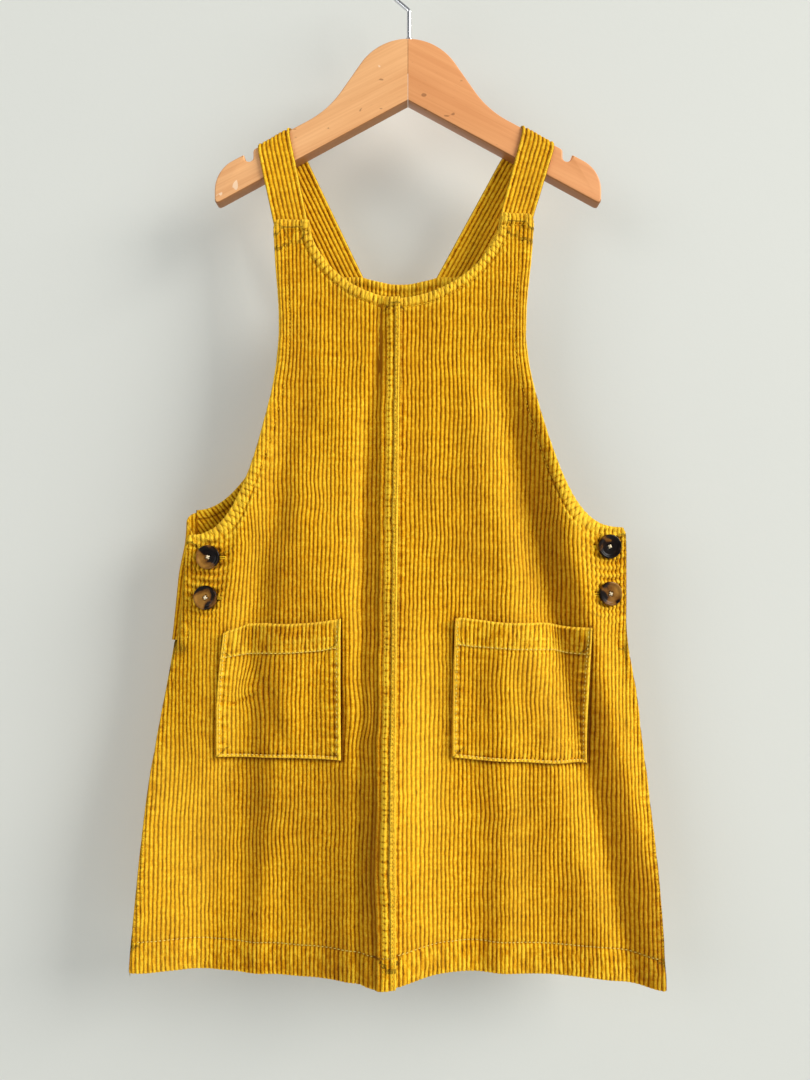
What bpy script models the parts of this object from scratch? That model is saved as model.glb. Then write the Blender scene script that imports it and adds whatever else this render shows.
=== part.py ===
"""Child's corduroy pinafore dress on a wooden hanger. Metres, +Z up, the front faces -Y.

The origin is the underside of the hanger hook's crook, where a rail or peg holds it.
"""

import math

import bmesh
import bpy
import numpy as np

# Cloth
WALL = 0.0018
GAP = 0.0003
SEAM_HALF = 0.00195
LEAN = 0.0035
EDGE_POWER = 7.0

# Levels along Z
BIB_TOP = {"left": -0.2060, "right": -0.2010}
ARMHOLE_TOP = -0.3340
HEM = -0.7820
CENTRE_X = -0.0060
LAP = 0.0120

# Front bib and neckline
BIB_HALF = {"left": 0.1040, "right": 0.0975}
BIB_BOW = {"left": 0.0045, "right": 0.0060}
CORNER = 0.0060
NECK_CENTRE = -0.0077
NECK_HALF = {"left": 0.0687, "right": 0.0800}
NECK_LOW = -0.2669
NECK_POWER = 1.8

# Front armholes, from the bib edge out to the placket
ARM_OUT = 0.1690
ARM_LOW = {"left": -0.4500, "right": -0.4440}
ARM_POWER = 2.6

# Outer edge of the front: how far out it stands from the middle at each height
EDGE = {
    "left": {
        "z": (-0.458, -0.500, -0.530, -0.571, -0.593, -0.638, -0.697, -0.755, -0.795),
        "out": (0.1708, 0.1738, 0.1765, 0.1865, 0.1910, 0.1980, 0.2045, 0.2110, 0.2135),
    },
    "right": {
        "z": (-0.452, -0.490, -0.530, -0.578, -0.638, -0.697, -0.755, -0.798),
        "out": (0.1715, 0.1722, 0.1732, 0.1830, 0.1905, 0.1955, 0.1980, 0.1995),
    },
    "back_left": {
        "z": (-0.458, -0.500, -0.530, -0.571, -0.593, -0.638, -0.697, -0.755, -0.795),
        "out": (0.1748, 0.1785, 0.1812, 0.1878, 0.1916, 0.1981, 0.2045, 0.2110, 0.2135),
    },
}
CORNER_LIFT = 0.0030

# Distance of the outer faces from the hanger's middle plane
DEPTH = {
    "z": (-0.200, -0.335, -0.450, -0.600, -0.790),
    "front": (0.0105, 0.0125, 0.0150, 0.0180, 0.0220),
    "back": (0.0130, 0.0140, 0.0160, 0.0195, 0.0240),
    "side": (0.0055, 0.0055, 0.0055, 0.00195, 0.00195),
}

# Bottom edge
HEM_LINE = {
    "x": (-0.214, -0.180, -0.120, -0.060, -0.015, 0.030, 0.090, 0.140, 0.170, 0.200),
    "drop": (0.0080, 0.0035, 0.0010, 0.0020, 0.0050, 0.0005, 0.0005, 0.0030, 0.0075, 0.0130),
}

# Soft vertical folds: where they start and end, how far they stand out, half width
FOLD_COLUMNS = ("x_high", "x_low", "z_start", "z_full", "out", "spread")
FRONT_FOLDS = (
    (-0.0080, -0.0150, -0.560, -0.790, 0.0120, 0.0260),
    (0.1060, 0.1240, -0.380, -0.540, -0.0065, 0.0120),
    (0.0800, 0.0750, -0.420, -0.520, 0.0030, 0.0140),
    (0.1420, 0.1500, -0.460, -0.580, 0.0030, 0.0120),
    (-0.0260, -0.0330, -0.290, -0.420, -0.0028, 0.0060),
    (-0.0900, -0.1050, -0.560, -0.760, -0.0050, 0.0240),
    (-0.1380, -0.1520, -0.440, -0.560, 0.0030, 0.0130),
    (0.0550, 0.0600, -0.640, -0.780, -0.0035, 0.0200),
)
BACK_FOLDS = (
    (-0.1000, -0.1150, -0.360, -0.740, 0.0080, 0.0220),
    (-0.0500, -0.0550, -0.420, -0.760, -0.0050, 0.0200),
    (0.0150, 0.0250, -0.380, -0.780, 0.0100, 0.0260),
    (0.0800, 0.0850, -0.480, -0.740, -0.0045, 0.0180),
    (0.1250, 0.1400, -0.420, -0.700, 0.0070, 0.0200),
)
SWAY = (0.2000, 0.2100, -0.600, -0.790, 0.0230, 0.0480)

# Back panel
BACK_TOP = -0.2450
BACK_HALF = 0.0600
SCOOP_HALF = 0.0300
SCOOP_DEPTH = 0.0050
BACK_ARM_OUT = 0.1660
BACK_ARM_LOW = {"left": -0.4345, "right": -0.4520}
BACK_ARM_POWER = {"left": 2.1, "right": 1.8}
PLACKET_LOW = -0.5320
STAND_IN = 0.1480
STAND_OVER = {"left": 0.0000, "right": -0.0012}
STAND_TOP = {"left": -0.4375, "right": -0.4530}
FACING = 0.0240

# Patch pockets: corners along the mouth and the foot
POCKETS = {
    "left": {
        "x": {"mouth": (-0.1430, -0.0500), "foot": (-0.1440, -0.0470)},
        "z": {"mouth": (-0.5250, -0.5150), "foot": (-0.6215, -0.6205)},
    },
    "right": {
        "x": {"mouth": (0.0385, 0.1430), "foot": (0.0370, 0.1425)},
        "z": {"mouth": (-0.5140, -0.5210), "foot": (-0.6190, -0.6270)},
    },
}
POCKET_GAP = 0.0006
POCKET_PUFF = 0.0018

# Buttons
BUTTONS = (
    {"x": -0.1532, "z": -0.4670},
    {"x": -0.1545, "z": -0.4980},
    {"x": 0.1568, "z": -0.4590},
    {"x": 0.1578, "z": -0.4955},
)
BUTTON_R = 0.0090
BUTTON_PROFILE = {
    "r": (0.0, 0.0080, 0.0090, 0.0090, 0.0085, 0.0076, 0.0066, 0.0030, 0.0),
    "h": (0.0, 0.0, 0.0010, 0.0024, 0.0033, 0.0034, 0.0025, 0.0022, 0.0022),
}
BUTTON_HOLE_R = 0.0008
BUTTON_HOLE_OFF = 0.0016

# Straps: both edges at each station, from the front bib over the hanger to the back bib
STRAPS = {
    "left": {
        "edge_out": {
            "x": (-0.1015, -0.1045, -0.1165, -0.1140, -0.1029, -0.0698, -0.0588, -0.0527),
            "z": (-0.2200, -0.2077, -0.1520, -0.1506, -0.1644, -0.2333, -0.2562, -0.2688),
        },
        "edge_in": {
            "x": (-0.0755, -0.0782, -0.0920, -0.0885, -0.0795, -0.0464, -0.0354, -0.0293),
            "z": (-0.2180, -0.2046, -0.1389, -0.1371, -0.1531, -0.2220, -0.2449, -0.2575),
        },
    },
    "right": {
        "edge_out": {
            "x": (0.0945, 0.0979, 0.1135, 0.1110, 0.0961, 0.0585, 0.0460, 0.0400),
            "z": (-0.2150, -0.2015, -0.1504, -0.1490, -0.1656, -0.2338, -0.2566, -0.2680),
        },
        "edge_in": {
            "x": (0.0690, 0.0724, 0.0888, 0.0860, 0.0733, 0.0357, 0.0232, 0.0170),
            "z": (-0.2130, -0.1984, -0.1372, -0.1357, -0.1531, -0.2214, -0.2441, -0.2560),
        },
    },
}
STRAP_Y = (-0.0072, -0.0072, -0.0074, 0.0074, 0.0076, 0.0101, 0.0101, 0.0101)
CREST_RISE = 0.0014
CREST_AFTER = 2

# Hanger arm, seen from the front: an arc over the hook, a straight flank, a hollow, the arm
HANGER_TOP = -0.0633
HANGER_HALF = 0.0060
HUMP_R = 0.0450
FLANK = math.radians(55.0)
FLANK_END = 0.0520
HOLLOW_R = 0.0750
ARM = math.radians(28.0)
NOTCH_IN = 0.1205
NOTCH_WIDE = 0.0070
NOTCH_DEEP = 0.0075
TIP_START = 0.1366
TIP_R = 0.0264
TIP_OUT = 0.1510
TIP_CORNER = 0.0025
APEX_DROP = 0.0480
UNDER = math.radians(28.5)
WOOD_ROUND = 0.0010
MITRE = 0.00015

# Hook
WIRE_R = 0.00175
STEM_X = 0.0008
BORE_R = 0.0022
BORE_DEEP = 0.0240
BEND_Z = -0.0440
BEND_R = 0.0080
CROOK_R = 0.0170
CROOK_END = math.radians(-18.0)
COLLAR = {"inner": 0.0022, "outer": 0.0036, "tall": 0.0022}


def side_name(sign):
    return "left" if sign < 0 else "right"


def smooth_step(t):
    t = np.clip(t, 0.0, 1.0)
    return t * t * (3.0 - 2.0 * t)


def along(z, levels, values):
    """A table read down the dress: the levels fall, so both are turned for interp."""
    return np.interp(-np.asarray(z, float), [-v for v in levels], values)


def edge_out(z, side):
    return along(z, EDGE[side]["z"], EDGE[side]["out"])


def fold(x, z, row):
    f = dict(zip(FOLD_COLUMNS, row))
    grow = smooth_step((f["z_start"] - z) / (f["z_start"] - f["z_full"]))
    fall = np.clip((f["z_start"] - z) / (f["z_start"] - f["z_full"]), 0.0, 1.0)
    middle = f["x_high"] + (f["x_low"] - f["x_high"]) * fall
    return f["out"] * grow * np.exp(-(((x - middle) / f["spread"]) ** 2))


def roundness(x, z, left="left"):
    """How near a point is to the side edge, 0 in the middle and 1 at the edge."""
    out = np.where(x < 0, edge_out(z, left), edge_out(z, "right"))
    return np.clip(np.abs(x) / out, 0.0, 1.0)


def hem_corner(side):
    """How far out the last column stands, just above the hem."""
    drop = HEM_LINE["drop"][-1 if side == "right" else 0]
    return float(edge_out(HEM - drop + CORNER_LIFT, side))


def front_y(x, z):
    """The outer face of the front cloth, before the lap."""
    full = along(z, DEPTH["z"], DEPTH["front"])
    side = along(z, DEPTH["z"], DEPTH["side"])
    keep = 1.0 - roundness(x, z) ** EDGE_POWER
    y = -side - (full - side) * keep
    for row in FRONT_FOLDS:
        y = y - fold(x, z, row) * keep
    return y - fold(x, z, SWAY)


def back_y(x, z):
    """The outer face of the back cloth."""
    full = along(z, DEPTH["z"], DEPTH["back"])
    side = along(z, DEPTH["z"], DEPTH["side"]) * 0.85
    side = np.maximum(side, SEAM_HALF)
    keep = 1.0 - roundness(x, z, "back_left") ** EDGE_POWER
    y = side + (full - side) * keep
    for row in BACK_FOLDS:
        y = y + fold(x, z, row) * keep
    return y - fold(x, z, SWAY)


def lap_rise(x):
    """The left front lifts over the seam allowance of the right front."""
    inner = CENTRE_X - LAP - 0.0045
    return (WALL + GAP) * smooth_step((x - inner) / 0.0040)


def lean(x, z):
    """The whole cloth drifts a little to the left on its way down."""
    return x - LEAN * smooth_step((-0.20 - z) / 0.50)


def wall_points(x, z, surface, away, offset):
    """Both faces of a wall on a height field y = surface(x, z), moved along its normal.

    away is -1 where the wall's outer face looks to -Y and 1 where it looks to +Y; offset
    is how far the outer face stands off the surface.
    """
    step = 0.0004
    y = surface(x, z)
    slope_x = (surface(x + step, z) - surface(x - step, z)) / (2 * step)
    slope_z = (surface(x, z + step) - surface(x, z - step)) / (2 * step)
    size = np.sqrt(1.0 + slope_x**2 + slope_z**2)
    normal = np.stack([-slope_x / size, 1.0 / size, -slope_z / size], axis=-1) * away
    base = np.stack([lean(x, z), y, z], axis=-1)
    outer = base + normal * np.asarray(offset)[..., None]
    inner = outer - normal * WALL
    return outer, inner


def link(name, mesh):
    obj = bpy.data.objects.new(name, mesh)
    bpy.context.scene.collection.objects.link(obj)
    return obj


def finish(name, mesh, colour, rough=0.8, metal=0.0):
    bm = bmesh.new()
    bm.from_mesh(mesh)
    bmesh.ops.recalc_face_normals(bm, faces=bm.faces)
    if bm.calc_volume(signed=True) < 0:
        bmesh.ops.reverse_faces(bm, faces=bm.faces)
    bm.to_mesh(mesh)
    bm.free()
    mat = bpy.data.materials.new(name + "_mat")
    mat.use_nodes = True
    shader = mat.node_tree.nodes["Principled BSDF"]
    shader.inputs["Base Color"].default_value = (*colour, 1.0)
    shader.inputs["Roughness"].default_value = rough
    shader.inputs["Metallic"].default_value = metal
    mesh.materials.append(mat)
    return link(name, mesh)


MUSTARD = (0.62, 0.36, 0.02)
WOOD = (0.72, 0.42, 0.22)
STEEL = (0.62, 0.62, 0.64)
HORN = (0.12, 0.05, 0.02)


def shell(name, outer, inner, quads, colour=MUSTARD):
    """Closes two matching faces into a wall with a rim round every open edge."""
    count = len(outer)
    verts = np.concatenate([outer, inner])
    faces = [tuple(q) for q in quads]
    faces += [tuple(i + count for i in reversed(q)) for q in quads]
    edges = {}
    for q in quads:
        for a, b in zip(q, q[1:] + q[:1]):
            edges[(a, b)] = edges.get((a, b), 0) + 1
    for a, b in edges:
        if (b, a) not in edges:
            faces.append((b, a, a + count, b + count))
    mesh = bpy.data.meshes.new(name)
    mesh.from_pydata(verts.tolist(), [], faces)
    mesh.update()
    return finish(name, mesh, colour)


def grid_quads(rows, columns):
    quads = []
    for i in range(rows - 1):
        for j in range(columns - 1):
            a = i * columns + j
            quads.append([a, a + 1, a + columns + 1, a + columns])
    return quads


def hem_z(x):
    return HEM - np.interp(x, HEM_LINE["x"], HEM_LINE["drop"])


def bib_top(x, side):
    """Neckline inside, strap seat outside, one rounded corner at the armhole."""
    half = NECK_HALF[side]
    top = BIB_TOP[side]
    u = np.clip(np.abs(x - NECK_CENTRE) / half, 0.0, 1.0)
    neck = top - (top - NECK_LOW) * (1.0 - u**NECK_POWER) ** (1.0 / NECK_POWER)
    away = np.clip(BIB_HALF[side] - np.abs(x), 0.0, CORNER)
    corner = CORNER - np.sqrt(np.maximum(CORNER**2 - (CORNER - away) ** 2, 0.0))
    return np.where(u < 1.0, neck, top - corner)


def side_top(out, side):
    """Top of the cloth outside the bib: armhole, placket edge, then side seam."""
    start = BIB_HALF[side]
    u = np.clip((out - start) / (ARM_OUT - start), 0.0, 1.0)
    arm = ARMHOLE_TOP - (ARMHOLE_TOP - ARM_LOW[side]) * (1.0 - (1.0 - u) ** ARM_POWER)
    table = EDGE[side]
    beyond = np.interp(out, (ARM_OUT,) + table["out"], (ARM_LOW[side],) + table["z"])
    return np.where(out <= ARM_OUT, arm, beyond)


def front_panel(sign):
    side = side_name(sign)
    half = BIB_HALF[side]
    lap = CENTRE_X if sign < 0 else CENTRE_X - LAP
    reach = abs(NECK_CENTRE + sign * NECK_HALF[side])
    neck = NECK_CENTRE + sign * NECK_HALF[side] * np.sin(np.linspace(0.5, 0.0, 9) * np.pi)
    if sign < 0:
        neck = neck[neck < lap - 0.0005]
        neck = np.append(neck, [lap - 0.0165, lap - 0.0120, lap - 0.0060, lap])
        neck = np.sort(neck)
    else:
        neck = np.append(neck[:-1], [NECK_CENTRE, lap + 0.005, lap])
    seat = sign * np.linspace(half, reach + 0.0006, 5)
    edge = list(EDGE[side]["out"][:-1]) + [hem_corner(side)]
    arm = np.linspace(ARM_OUT, half, 9)[:-1]
    outer = sign * np.concatenate([np.array(edge[::-1]), arm])
    bib = np.concatenate([seat, neck])
    x_all = np.concatenate([outer, bib])
    first = len(outer)
    rows_high, rows_low = 7, 17
    index = {}
    pts_x, pts_z = [], []
    for j, x in enumerate(x_all):
        in_bib = j >= first
        high = ARMHOLE_TOP if in_bib else float(side_top(abs(x), side))
        top = float(bib_top(x, side)) if in_bib else high
        low = float(hem_z(x))
        start = 0 if in_bib else rows_high
        for i in range(start, rows_high + rows_low + 1):
            v = i / rows_high
            w = (i - rows_high) / rows_low
            z = top + (high - top) * v if i < rows_high else high + (low - high) * w
            bow = BIB_BOW[side] * math.sin(math.pi * min(v, 1.0) ** 1.6) if in_bib else 0.0
            bow *= math.exp(-(half - abs(x)) / 0.014)
            index[(i, j)] = len(pts_x)
            pts_x.append(x - sign * bow)
            pts_z.append(z)
    quads = []
    for i, j in index:
        ring = [(i, j), (i, j + 1), (i + 1, j + 1), (i + 1, j)]
        if all(key in index for key in ring):
            quads.append([index[key] for key in ring])
    x, z = np.array(pts_x), np.array(pts_z)
    rise = lap_rise(x) if sign < 0 else np.zeros_like(x)
    outer_pts, inner_pts = wall_points(x, z, front_y, -1.0, rise)
    return shell("front_" + side, outer_pts, inner_pts, quads)


def back_top(x):
    """Back neckline and bib top, armhole, placket cut-out, then the side seam."""
    side = np.where(x < 0, -1, 1)
    out = np.abs(x)
    centre = np.abs(x - CENTRE_X)
    scoop = SCOOP_DEPTH * (1.0 - np.clip(centre / SCOOP_HALF, 0.0, 1.0) ** 2)
    start = BACK_HALF + side * CENTRE_X
    u = np.clip((out - start) / (BACK_ARM_OUT - start), 0.0, 1.0)
    low = np.where(x < 0, BACK_ARM_LOW["left"], BACK_ARM_LOW["right"])
    power = np.where(x < 0, BACK_ARM_POWER["left"], BACK_ARM_POWER["right"])
    arm = (BACK_TOP - low) * (1.0 - (1.0 - u) ** power)
    table = [EDGE["back_left"], EDGE["right"]]
    seam = [np.interp(out, t["out"], t["z"]) for t in table]
    seam = np.minimum(np.where(x < 0, seam[0], seam[1]), PLACKET_LOW - GAP)
    return np.where(out > BACK_ARM_OUT + 1e-6, seam, BACK_TOP - scoop - arm)


def back_panel():
    left = [v for v in EDGE["back_left"]["out"][:-1] if v > 0.1813]
    left += [hem_corner("back_left"), 0.1812, 0.1740, 0.16635]
    right = [v for v in EDGE["right"]["out"][:-1] if v > 0.1733]
    right += [hem_corner("right"), 0.1732, 0.1695, 0.16635]
    arm = np.linspace(BACK_ARM_OUT, BACK_HALF - CENTRE_X, 11)
    arm_right = np.linspace(BACK_ARM_OUT, BACK_HALF + CENTRE_X, 11)
    middle = np.linspace(CENTRE_X - BACK_HALF, CENTRE_X + BACK_HALF, 13)[1:-1]
    parts = [-np.array(sorted(left, reverse=True)), -arm, middle]
    parts += [arm_right[::-1], np.array(sorted(right))]
    x_all = np.concatenate(parts)
    rows = 24
    v = np.linspace(0.0, 1.0, rows + 1)[:, None]
    x = np.repeat(x_all[None, :], rows + 1, axis=0)
    z = back_top(x_all)[None, :] * (1 - v) + hem_z(x_all)[None, :] * v
    outer, inner = wall_points(x.ravel(), z.ravel(), back_y, 1.0, np.zeros(x.size))
    return shell("back", outer, inner, grid_quads(rows + 1, len(x_all)))


def stand_point(sign, turn, reach_in, z):
    """One point of the stand's middle surface: its distance out and its y."""
    side = side_name(sign)
    edge = "back_left" if sign < 0 else "right"
    radius = 0.0029
    turn_x = float(edge_out(z, edge)) + STAND_OVER[side] - radius - WALL / 2
    y_front = -float(along(z, DEPTH["z"], DEPTH["side"])) + 1.5 * WALL + GAP
    if turn is None and reach_in < 0:
        return BACK_ARM_OUT + 0.0009, float(back_y(sign * BACK_ARM_OUT, z)) - WALL / 2
    if turn is not None:
        a = math.radians(turn)
        return turn_x + radius * math.cos(a), y_front + radius * (1 + math.sin(a))
    out = turn_x - 0.002 - (turn_x - 0.002 - STAND_IN) * reach_in
    face = float(front_y(sign * out, z))
    return out, max(face + 1.5 * WALL + 2.2 * GAP, face + 0.003)


def button_stand(sign):
    """The back's underlap: from the back's edge round the side and in behind the front."""
    side = side_name(sign)
    stations = [(None, -1.0)]
    stations += [(a, 0.0) for a in np.linspace(90.0, -90.0, 7)]
    stations += [(None, t) for t in np.linspace(0.0, 1.0, 5)]
    sections, heights = [], []
    for t in np.linspace(0.0, 1.0, 7):
        path, levels = [], []
        for turn, reach_in in stations:
            low_lip = turn is None and reach_in >= 0.0
            top = STAND_TOP[side]
            if low_lip:
                out = stand_point(sign, turn, reach_in, top)[0]
                top = min(top, float(side_top(min(out, ARM_OUT), side)) - 0.003)
            elif turn is not None:
                dip = float(side_top(ARM_OUT, side)) - 0.003
                top = top + (min(top, dip) - top) * (90.0 - turn) / 180.0
            z = top + (PLACKET_LOW - top) * t
            path.append(stand_point(sign, turn, reach_in, z))
            levels.append(z)
        sections.append(path)
        heights.append(levels)
    mid, z_grid = np.array(sections), np.array(heights)
    step = np.gradient(mid, axis=1)
    size = np.linalg.norm(step, axis=2, keepdims=True)
    normal = np.stack([-step[..., 1], step[..., 0]], axis=2) / size
    faces = []
    for face in (mid - normal * WALL / 2, mid + normal * WALL / 2):
        x = sign * face[..., 0]
        faces.append(np.stack([lean(x, z_grid), face[..., 1], z_grid], axis=2).reshape(-1, 3))
    quads = grid_quads(mid.shape[0], mid.shape[1])
    return shell("button_stand_" + side, faces[0], faces[1], quads)


def inside_back(x, z):
    return back_y(x, z) - WALL


def neck_facing():
    """Band inside the back neckline, over the strap ends."""
    x_all = np.linspace(CENTRE_X - BACK_HALF + 0.002, CENTRE_X + BACK_HALF - 0.002, 17)
    v = np.linspace(0.0, 1.0, 4)[:, None]
    top = back_top(x_all)[None, :]
    x = np.repeat(x_all[None, :], 4, axis=0)
    z = top - FACING * v
    clear = 2 * GAP + WALL
    ramp = smooth_step((np.abs(x - CENTRE_X) - 0.006) / 0.012)
    offset = GAP * 1.5 + WALL + (clear + 0.0005 - 1.5 * GAP) * ramp
    outer, inner = wall_points(x.ravel(), z.ravel(), inside_back, -1.0, offset.ravel())
    return shell("back_neck_facing", outer, inner, grid_quads(4, len(x_all)))


def armhole_facing(sign):
    """Band inside the back armhole, from below the neck facing to the placket."""
    start = BACK_HALF + sign * CENTRE_X
    out = np.linspace(start + 0.013, BACK_ARM_OUT - 0.003, 15)
    z_edge = back_top(sign * out)
    slope = np.gradient(z_edge, out)
    size = np.sqrt(1 + slope**2)
    inward = np.stack([slope / size, -1.0 / size], axis=1)
    v = np.linspace(0.0, 1.0, 4)[:, None]
    x = sign * (out[None, :] + inward[None, :, 0] * FACING * v)
    z = z_edge[None, :] + inward[None, :, 1] * FACING * v
    offset = np.full(x.size, WALL + 1.5 * GAP)
    outer, inner = wall_points(x.ravel(), z.ravel(), inside_back, -1.0, offset)
    return shell("armhole_facing_" + side_name(sign), outer, inner, grid_quads(4, 15))


def pocket(sign):
    side = side_name(sign)
    p = POCKETS[side]
    rows, columns = 9, 9
    u = np.linspace(0.0, 1.0, columns)[None, :]
    v = np.linspace(0.0, 1.0, rows)[:, None]

    def mix(table):
        mouth = table["mouth"][0] * (1 - u) + table["mouth"][1] * u
        foot = table["foot"][0] * (1 - u) + table["foot"][1] * u
        return mouth * (1 - v) + foot * v

    bulge = 0.0030 * np.sin(np.pi * v) * np.where(u < 0.5, 1 - 2 * u, 0.0)
    x = mix(p["x"]) - (bulge if sign < 0 else 0.3 * bulge)
    z = mix(p["z"])
    puff = POCKET_PUFF * np.sin(np.pi * u) ** 0.7 * (1 - v**3) * (0.55 + 0.45 * (1 - v))
    offset = (POCKET_GAP + WALL + puff + 0 * x).ravel()
    outer, inner = wall_points(x.ravel(), z.ravel(), front_y, -1.0, offset)
    return shell("pocket_" + side, outer, inner, grid_quads(rows, columns))


def strap(sign):
    """Both edges run through the stations; the crest adds the turn over the hanger."""
    side = side_name(sign)
    table = STRAPS[side]
    stations = len(STRAP_Y)
    edges = []
    for key in ("edge_out", "edge_in"):
        edges.append(np.stack([table[key]["x"], STRAP_Y, table[key]["z"]], axis=1))
    rows = []
    for k in range(stations - 1):
        if k == CREST_AFTER:
            for angle in (0.0, 45.0, 90.0):
                rows.append(("front", k, angle))
            for angle in (90.0, 45.0, 0.0):
                rows.append(("rear", k + 1, angle))
            continue
        steps = 5 if k in (1, 4) else 2
        for s in range(steps):
            if k == 1 or s > 0 or k not in (CREST_AFTER + 1,):
                rows.append(("run", k, s / steps))
    rows.append(("run", stations - 2, 1.0))
    lines = []
    for kind, k, t in rows:
        pair = []
        for edge in edges:
            if kind == "run":
                pair.append(edge[k] * (1 - t) + edge[k + 1] * t)
                continue
            a = math.radians(t)
            r = 0.0022
            turn = 1.0 if kind == "front" else -1.0
            rise = CREST_RISE + r * math.sin(a) * 2.0
            pair.append(edge[k] + np.array([0.0, turn * r * (1 - math.cos(a)), rise]))
        lines.append(pair)
    lines = np.array(lines)
    u = np.linspace(0.0, 1.0, 5)[None, :, None]
    mid = lines[:, :1, :] * (1 - u) + lines[:, 1:, :] * u
    down = np.gradient(mid, axis=0)
    across = np.gradient(mid, axis=1)
    normal = np.cross(down, across)
    normal /= np.linalg.norm(normal, axis=2, keepdims=True)
    outer = (mid + normal * WALL / 2).reshape(-1, 3)
    inner = (mid - normal * WALL / 2).reshape(-1, 3)
    return shell("strap_" + side, outer, inner, grid_quads(len(lines), 5))


def arm_outline():
    """Front outline of one arm, x outward and z from the top of the hump."""
    pts = [(MITRE, -(HUMP_R - math.sqrt(HUMP_R**2 - MITRE**2)))]
    for a in np.linspace(0.0, FLANK, 11)[1:]:
        pts.append((HUMP_R * math.sin(a), -HUMP_R * (1 - math.cos(a))))
    x, z = pts[-1]
    z -= (FLANK_END - x) * math.tan(FLANK)
    x = FLANK_END
    pts.append((x, z))
    for a in np.linspace(FLANK, ARM, 8)[1:]:
        pts.append((x + HOLLOW_R * (math.sin(FLANK) - math.sin(a)),
                    z - HOLLOW_R * (math.cos(a) - math.cos(FLANK))))
    x, z = pts[-1]

    def upper(out):
        return z - (out - x) * math.tan(ARM)

    notch_r = NOTCH_WIDE / 2
    middle = NOTCH_IN + notch_r
    floor = upper(middle) - NOTCH_DEEP + notch_r
    pts.append((NOTCH_IN, upper(NOTCH_IN)))
    for a in np.linspace(180.0, 360.0, 9):
        a = math.radians(a)
        pts.append((middle + notch_r * math.cos(a), floor + notch_r * math.sin(a)))
    pts.append((NOTCH_IN + NOTCH_WIDE, upper(NOTCH_IN + NOTCH_WIDE)))
    for a in np.linspace(ARM, math.radians(90.0), 9):
        pts.append((TIP_START + TIP_R * (math.sin(a) - math.sin(ARM)),
                    upper(TIP_START) - TIP_R * (math.cos(ARM) - math.cos(a))))
    tip = pts[-1][0]
    low = -APEX_DROP - tip * math.tan(UNDER)
    pts.append((tip, low + TIP_CORNER * 1.2))
    pts.append((tip - TIP_CORNER * 0.35, low + TIP_CORNER * 0.45))
    pts.append((tip - TIP_CORNER * 1.4, low + TIP_CORNER * 1.4 * math.tan(UNDER)))
    pts.append((MITRE, -APEX_DROP - MITRE * math.tan(UNDER)))
    return np.array(pts)


def inset(pts, amount):
    """Moves an outline in by amount; the mitre's own edge keeps its x."""
    before = pts - np.roll(pts, 1, axis=0)
    after = np.roll(pts, -1, axis=0) - pts
    before /= np.linalg.norm(before, axis=1, keepdims=True)
    after /= np.linalg.norm(after, axis=1, keepdims=True)
    way = before + after
    way /= np.linalg.norm(way, axis=1, keepdims=True)
    moved = pts + np.stack([way[:, 1], -way[:, 0]], axis=1) * amount
    moved[0, 0] = pts[0, 0]
    moved[-1, 0] = pts[-1, 0]
    return moved


def hanger_arm(sign):
    outline = arm_outline()
    small = inset(outline, WOOD_ROUND)
    rings = [(small, -HANGER_HALF), (outline, -HANGER_HALF + WOOD_ROUND),
             (outline, HANGER_HALF - WOOD_ROUND), (small, HANGER_HALF)]
    count = len(outline)
    verts = []
    for ring, y in rings:
        verts += [(sign * x, y, HANGER_TOP + z) for x, z in ring]
    faces = [tuple(range(count)), tuple(reversed(range(3 * count, 4 * count)))]
    for k in range(3):
        for i in range(count):
            j = (i + 1) % count
            faces.append((k * count + i, (k + 1) * count + i,
                          (k + 1) * count + j, k * count + j))
    name = "hanger_" + side_name(sign)
    mesh = bpy.data.meshes.new(name)
    mesh.from_pydata(verts, [], faces)
    mesh.update()
    return finish(name, mesh, WOOD, 0.5)


def cutter(name, radius, length, place, turn=None):
    mesh = bpy.data.meshes.new(name)
    bm = bmesh.new()
    bmesh.ops.create_cone(bm, cap_ends=True, segments=20, radius1=radius,
                          radius2=radius, depth=length)
    bm.to_mesh(mesh)
    bm.free()
    obj = link(name, mesh)
    obj.location = place
    if turn is not None:
        obj.rotation_mode = "QUATERNION"
        obj.rotation_quaternion = turn
    obj.hide_render = True
    obj.display_type = "WIRE"
    return obj


def cut(target, tool):
    mod = target.modifiers.new("cut_" + tool.name, "BOOLEAN")
    mod.operation = "DIFFERENCE"
    mod.solver = "EXACT"
    mod.object = tool


def tube(name, path, radius, colour, rough, metal):
    """A round wire along a path in the XZ plane, closed with flat ends."""
    path = np.asarray(path, float)
    way = np.gradient(path, axis=0)
    way /= np.linalg.norm(way, axis=1, keepdims=True)
    side = np.stack([way[:, 1], -way[:, 0]], axis=1)
    segments = 16
    verts = []
    for p, n in zip(path, side):
        for k in range(segments):
            a = 2 * math.pi * k / segments
            c = radius * math.cos(a)
            verts.append((p[0] + n[0] * c, radius * math.sin(a), p[1] + n[1] * c))
    faces = []
    for i in range(len(path) - 1):
        for k in range(segments):
            j = (k + 1) % segments
            faces.append((i * segments + k, i * segments + j,
                          (i + 1) * segments + j, (i + 1) * segments + k))
    faces.append(tuple(range(segments)))
    last = (len(path) - 1) * segments
    faces.append(tuple(last + k for k in reversed(range(segments))))
    mesh = bpy.data.meshes.new(name)
    mesh.from_pydata(verts, [], faces)
    mesh.update()
    return finish(name, mesh, colour, rough, metal)


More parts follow.
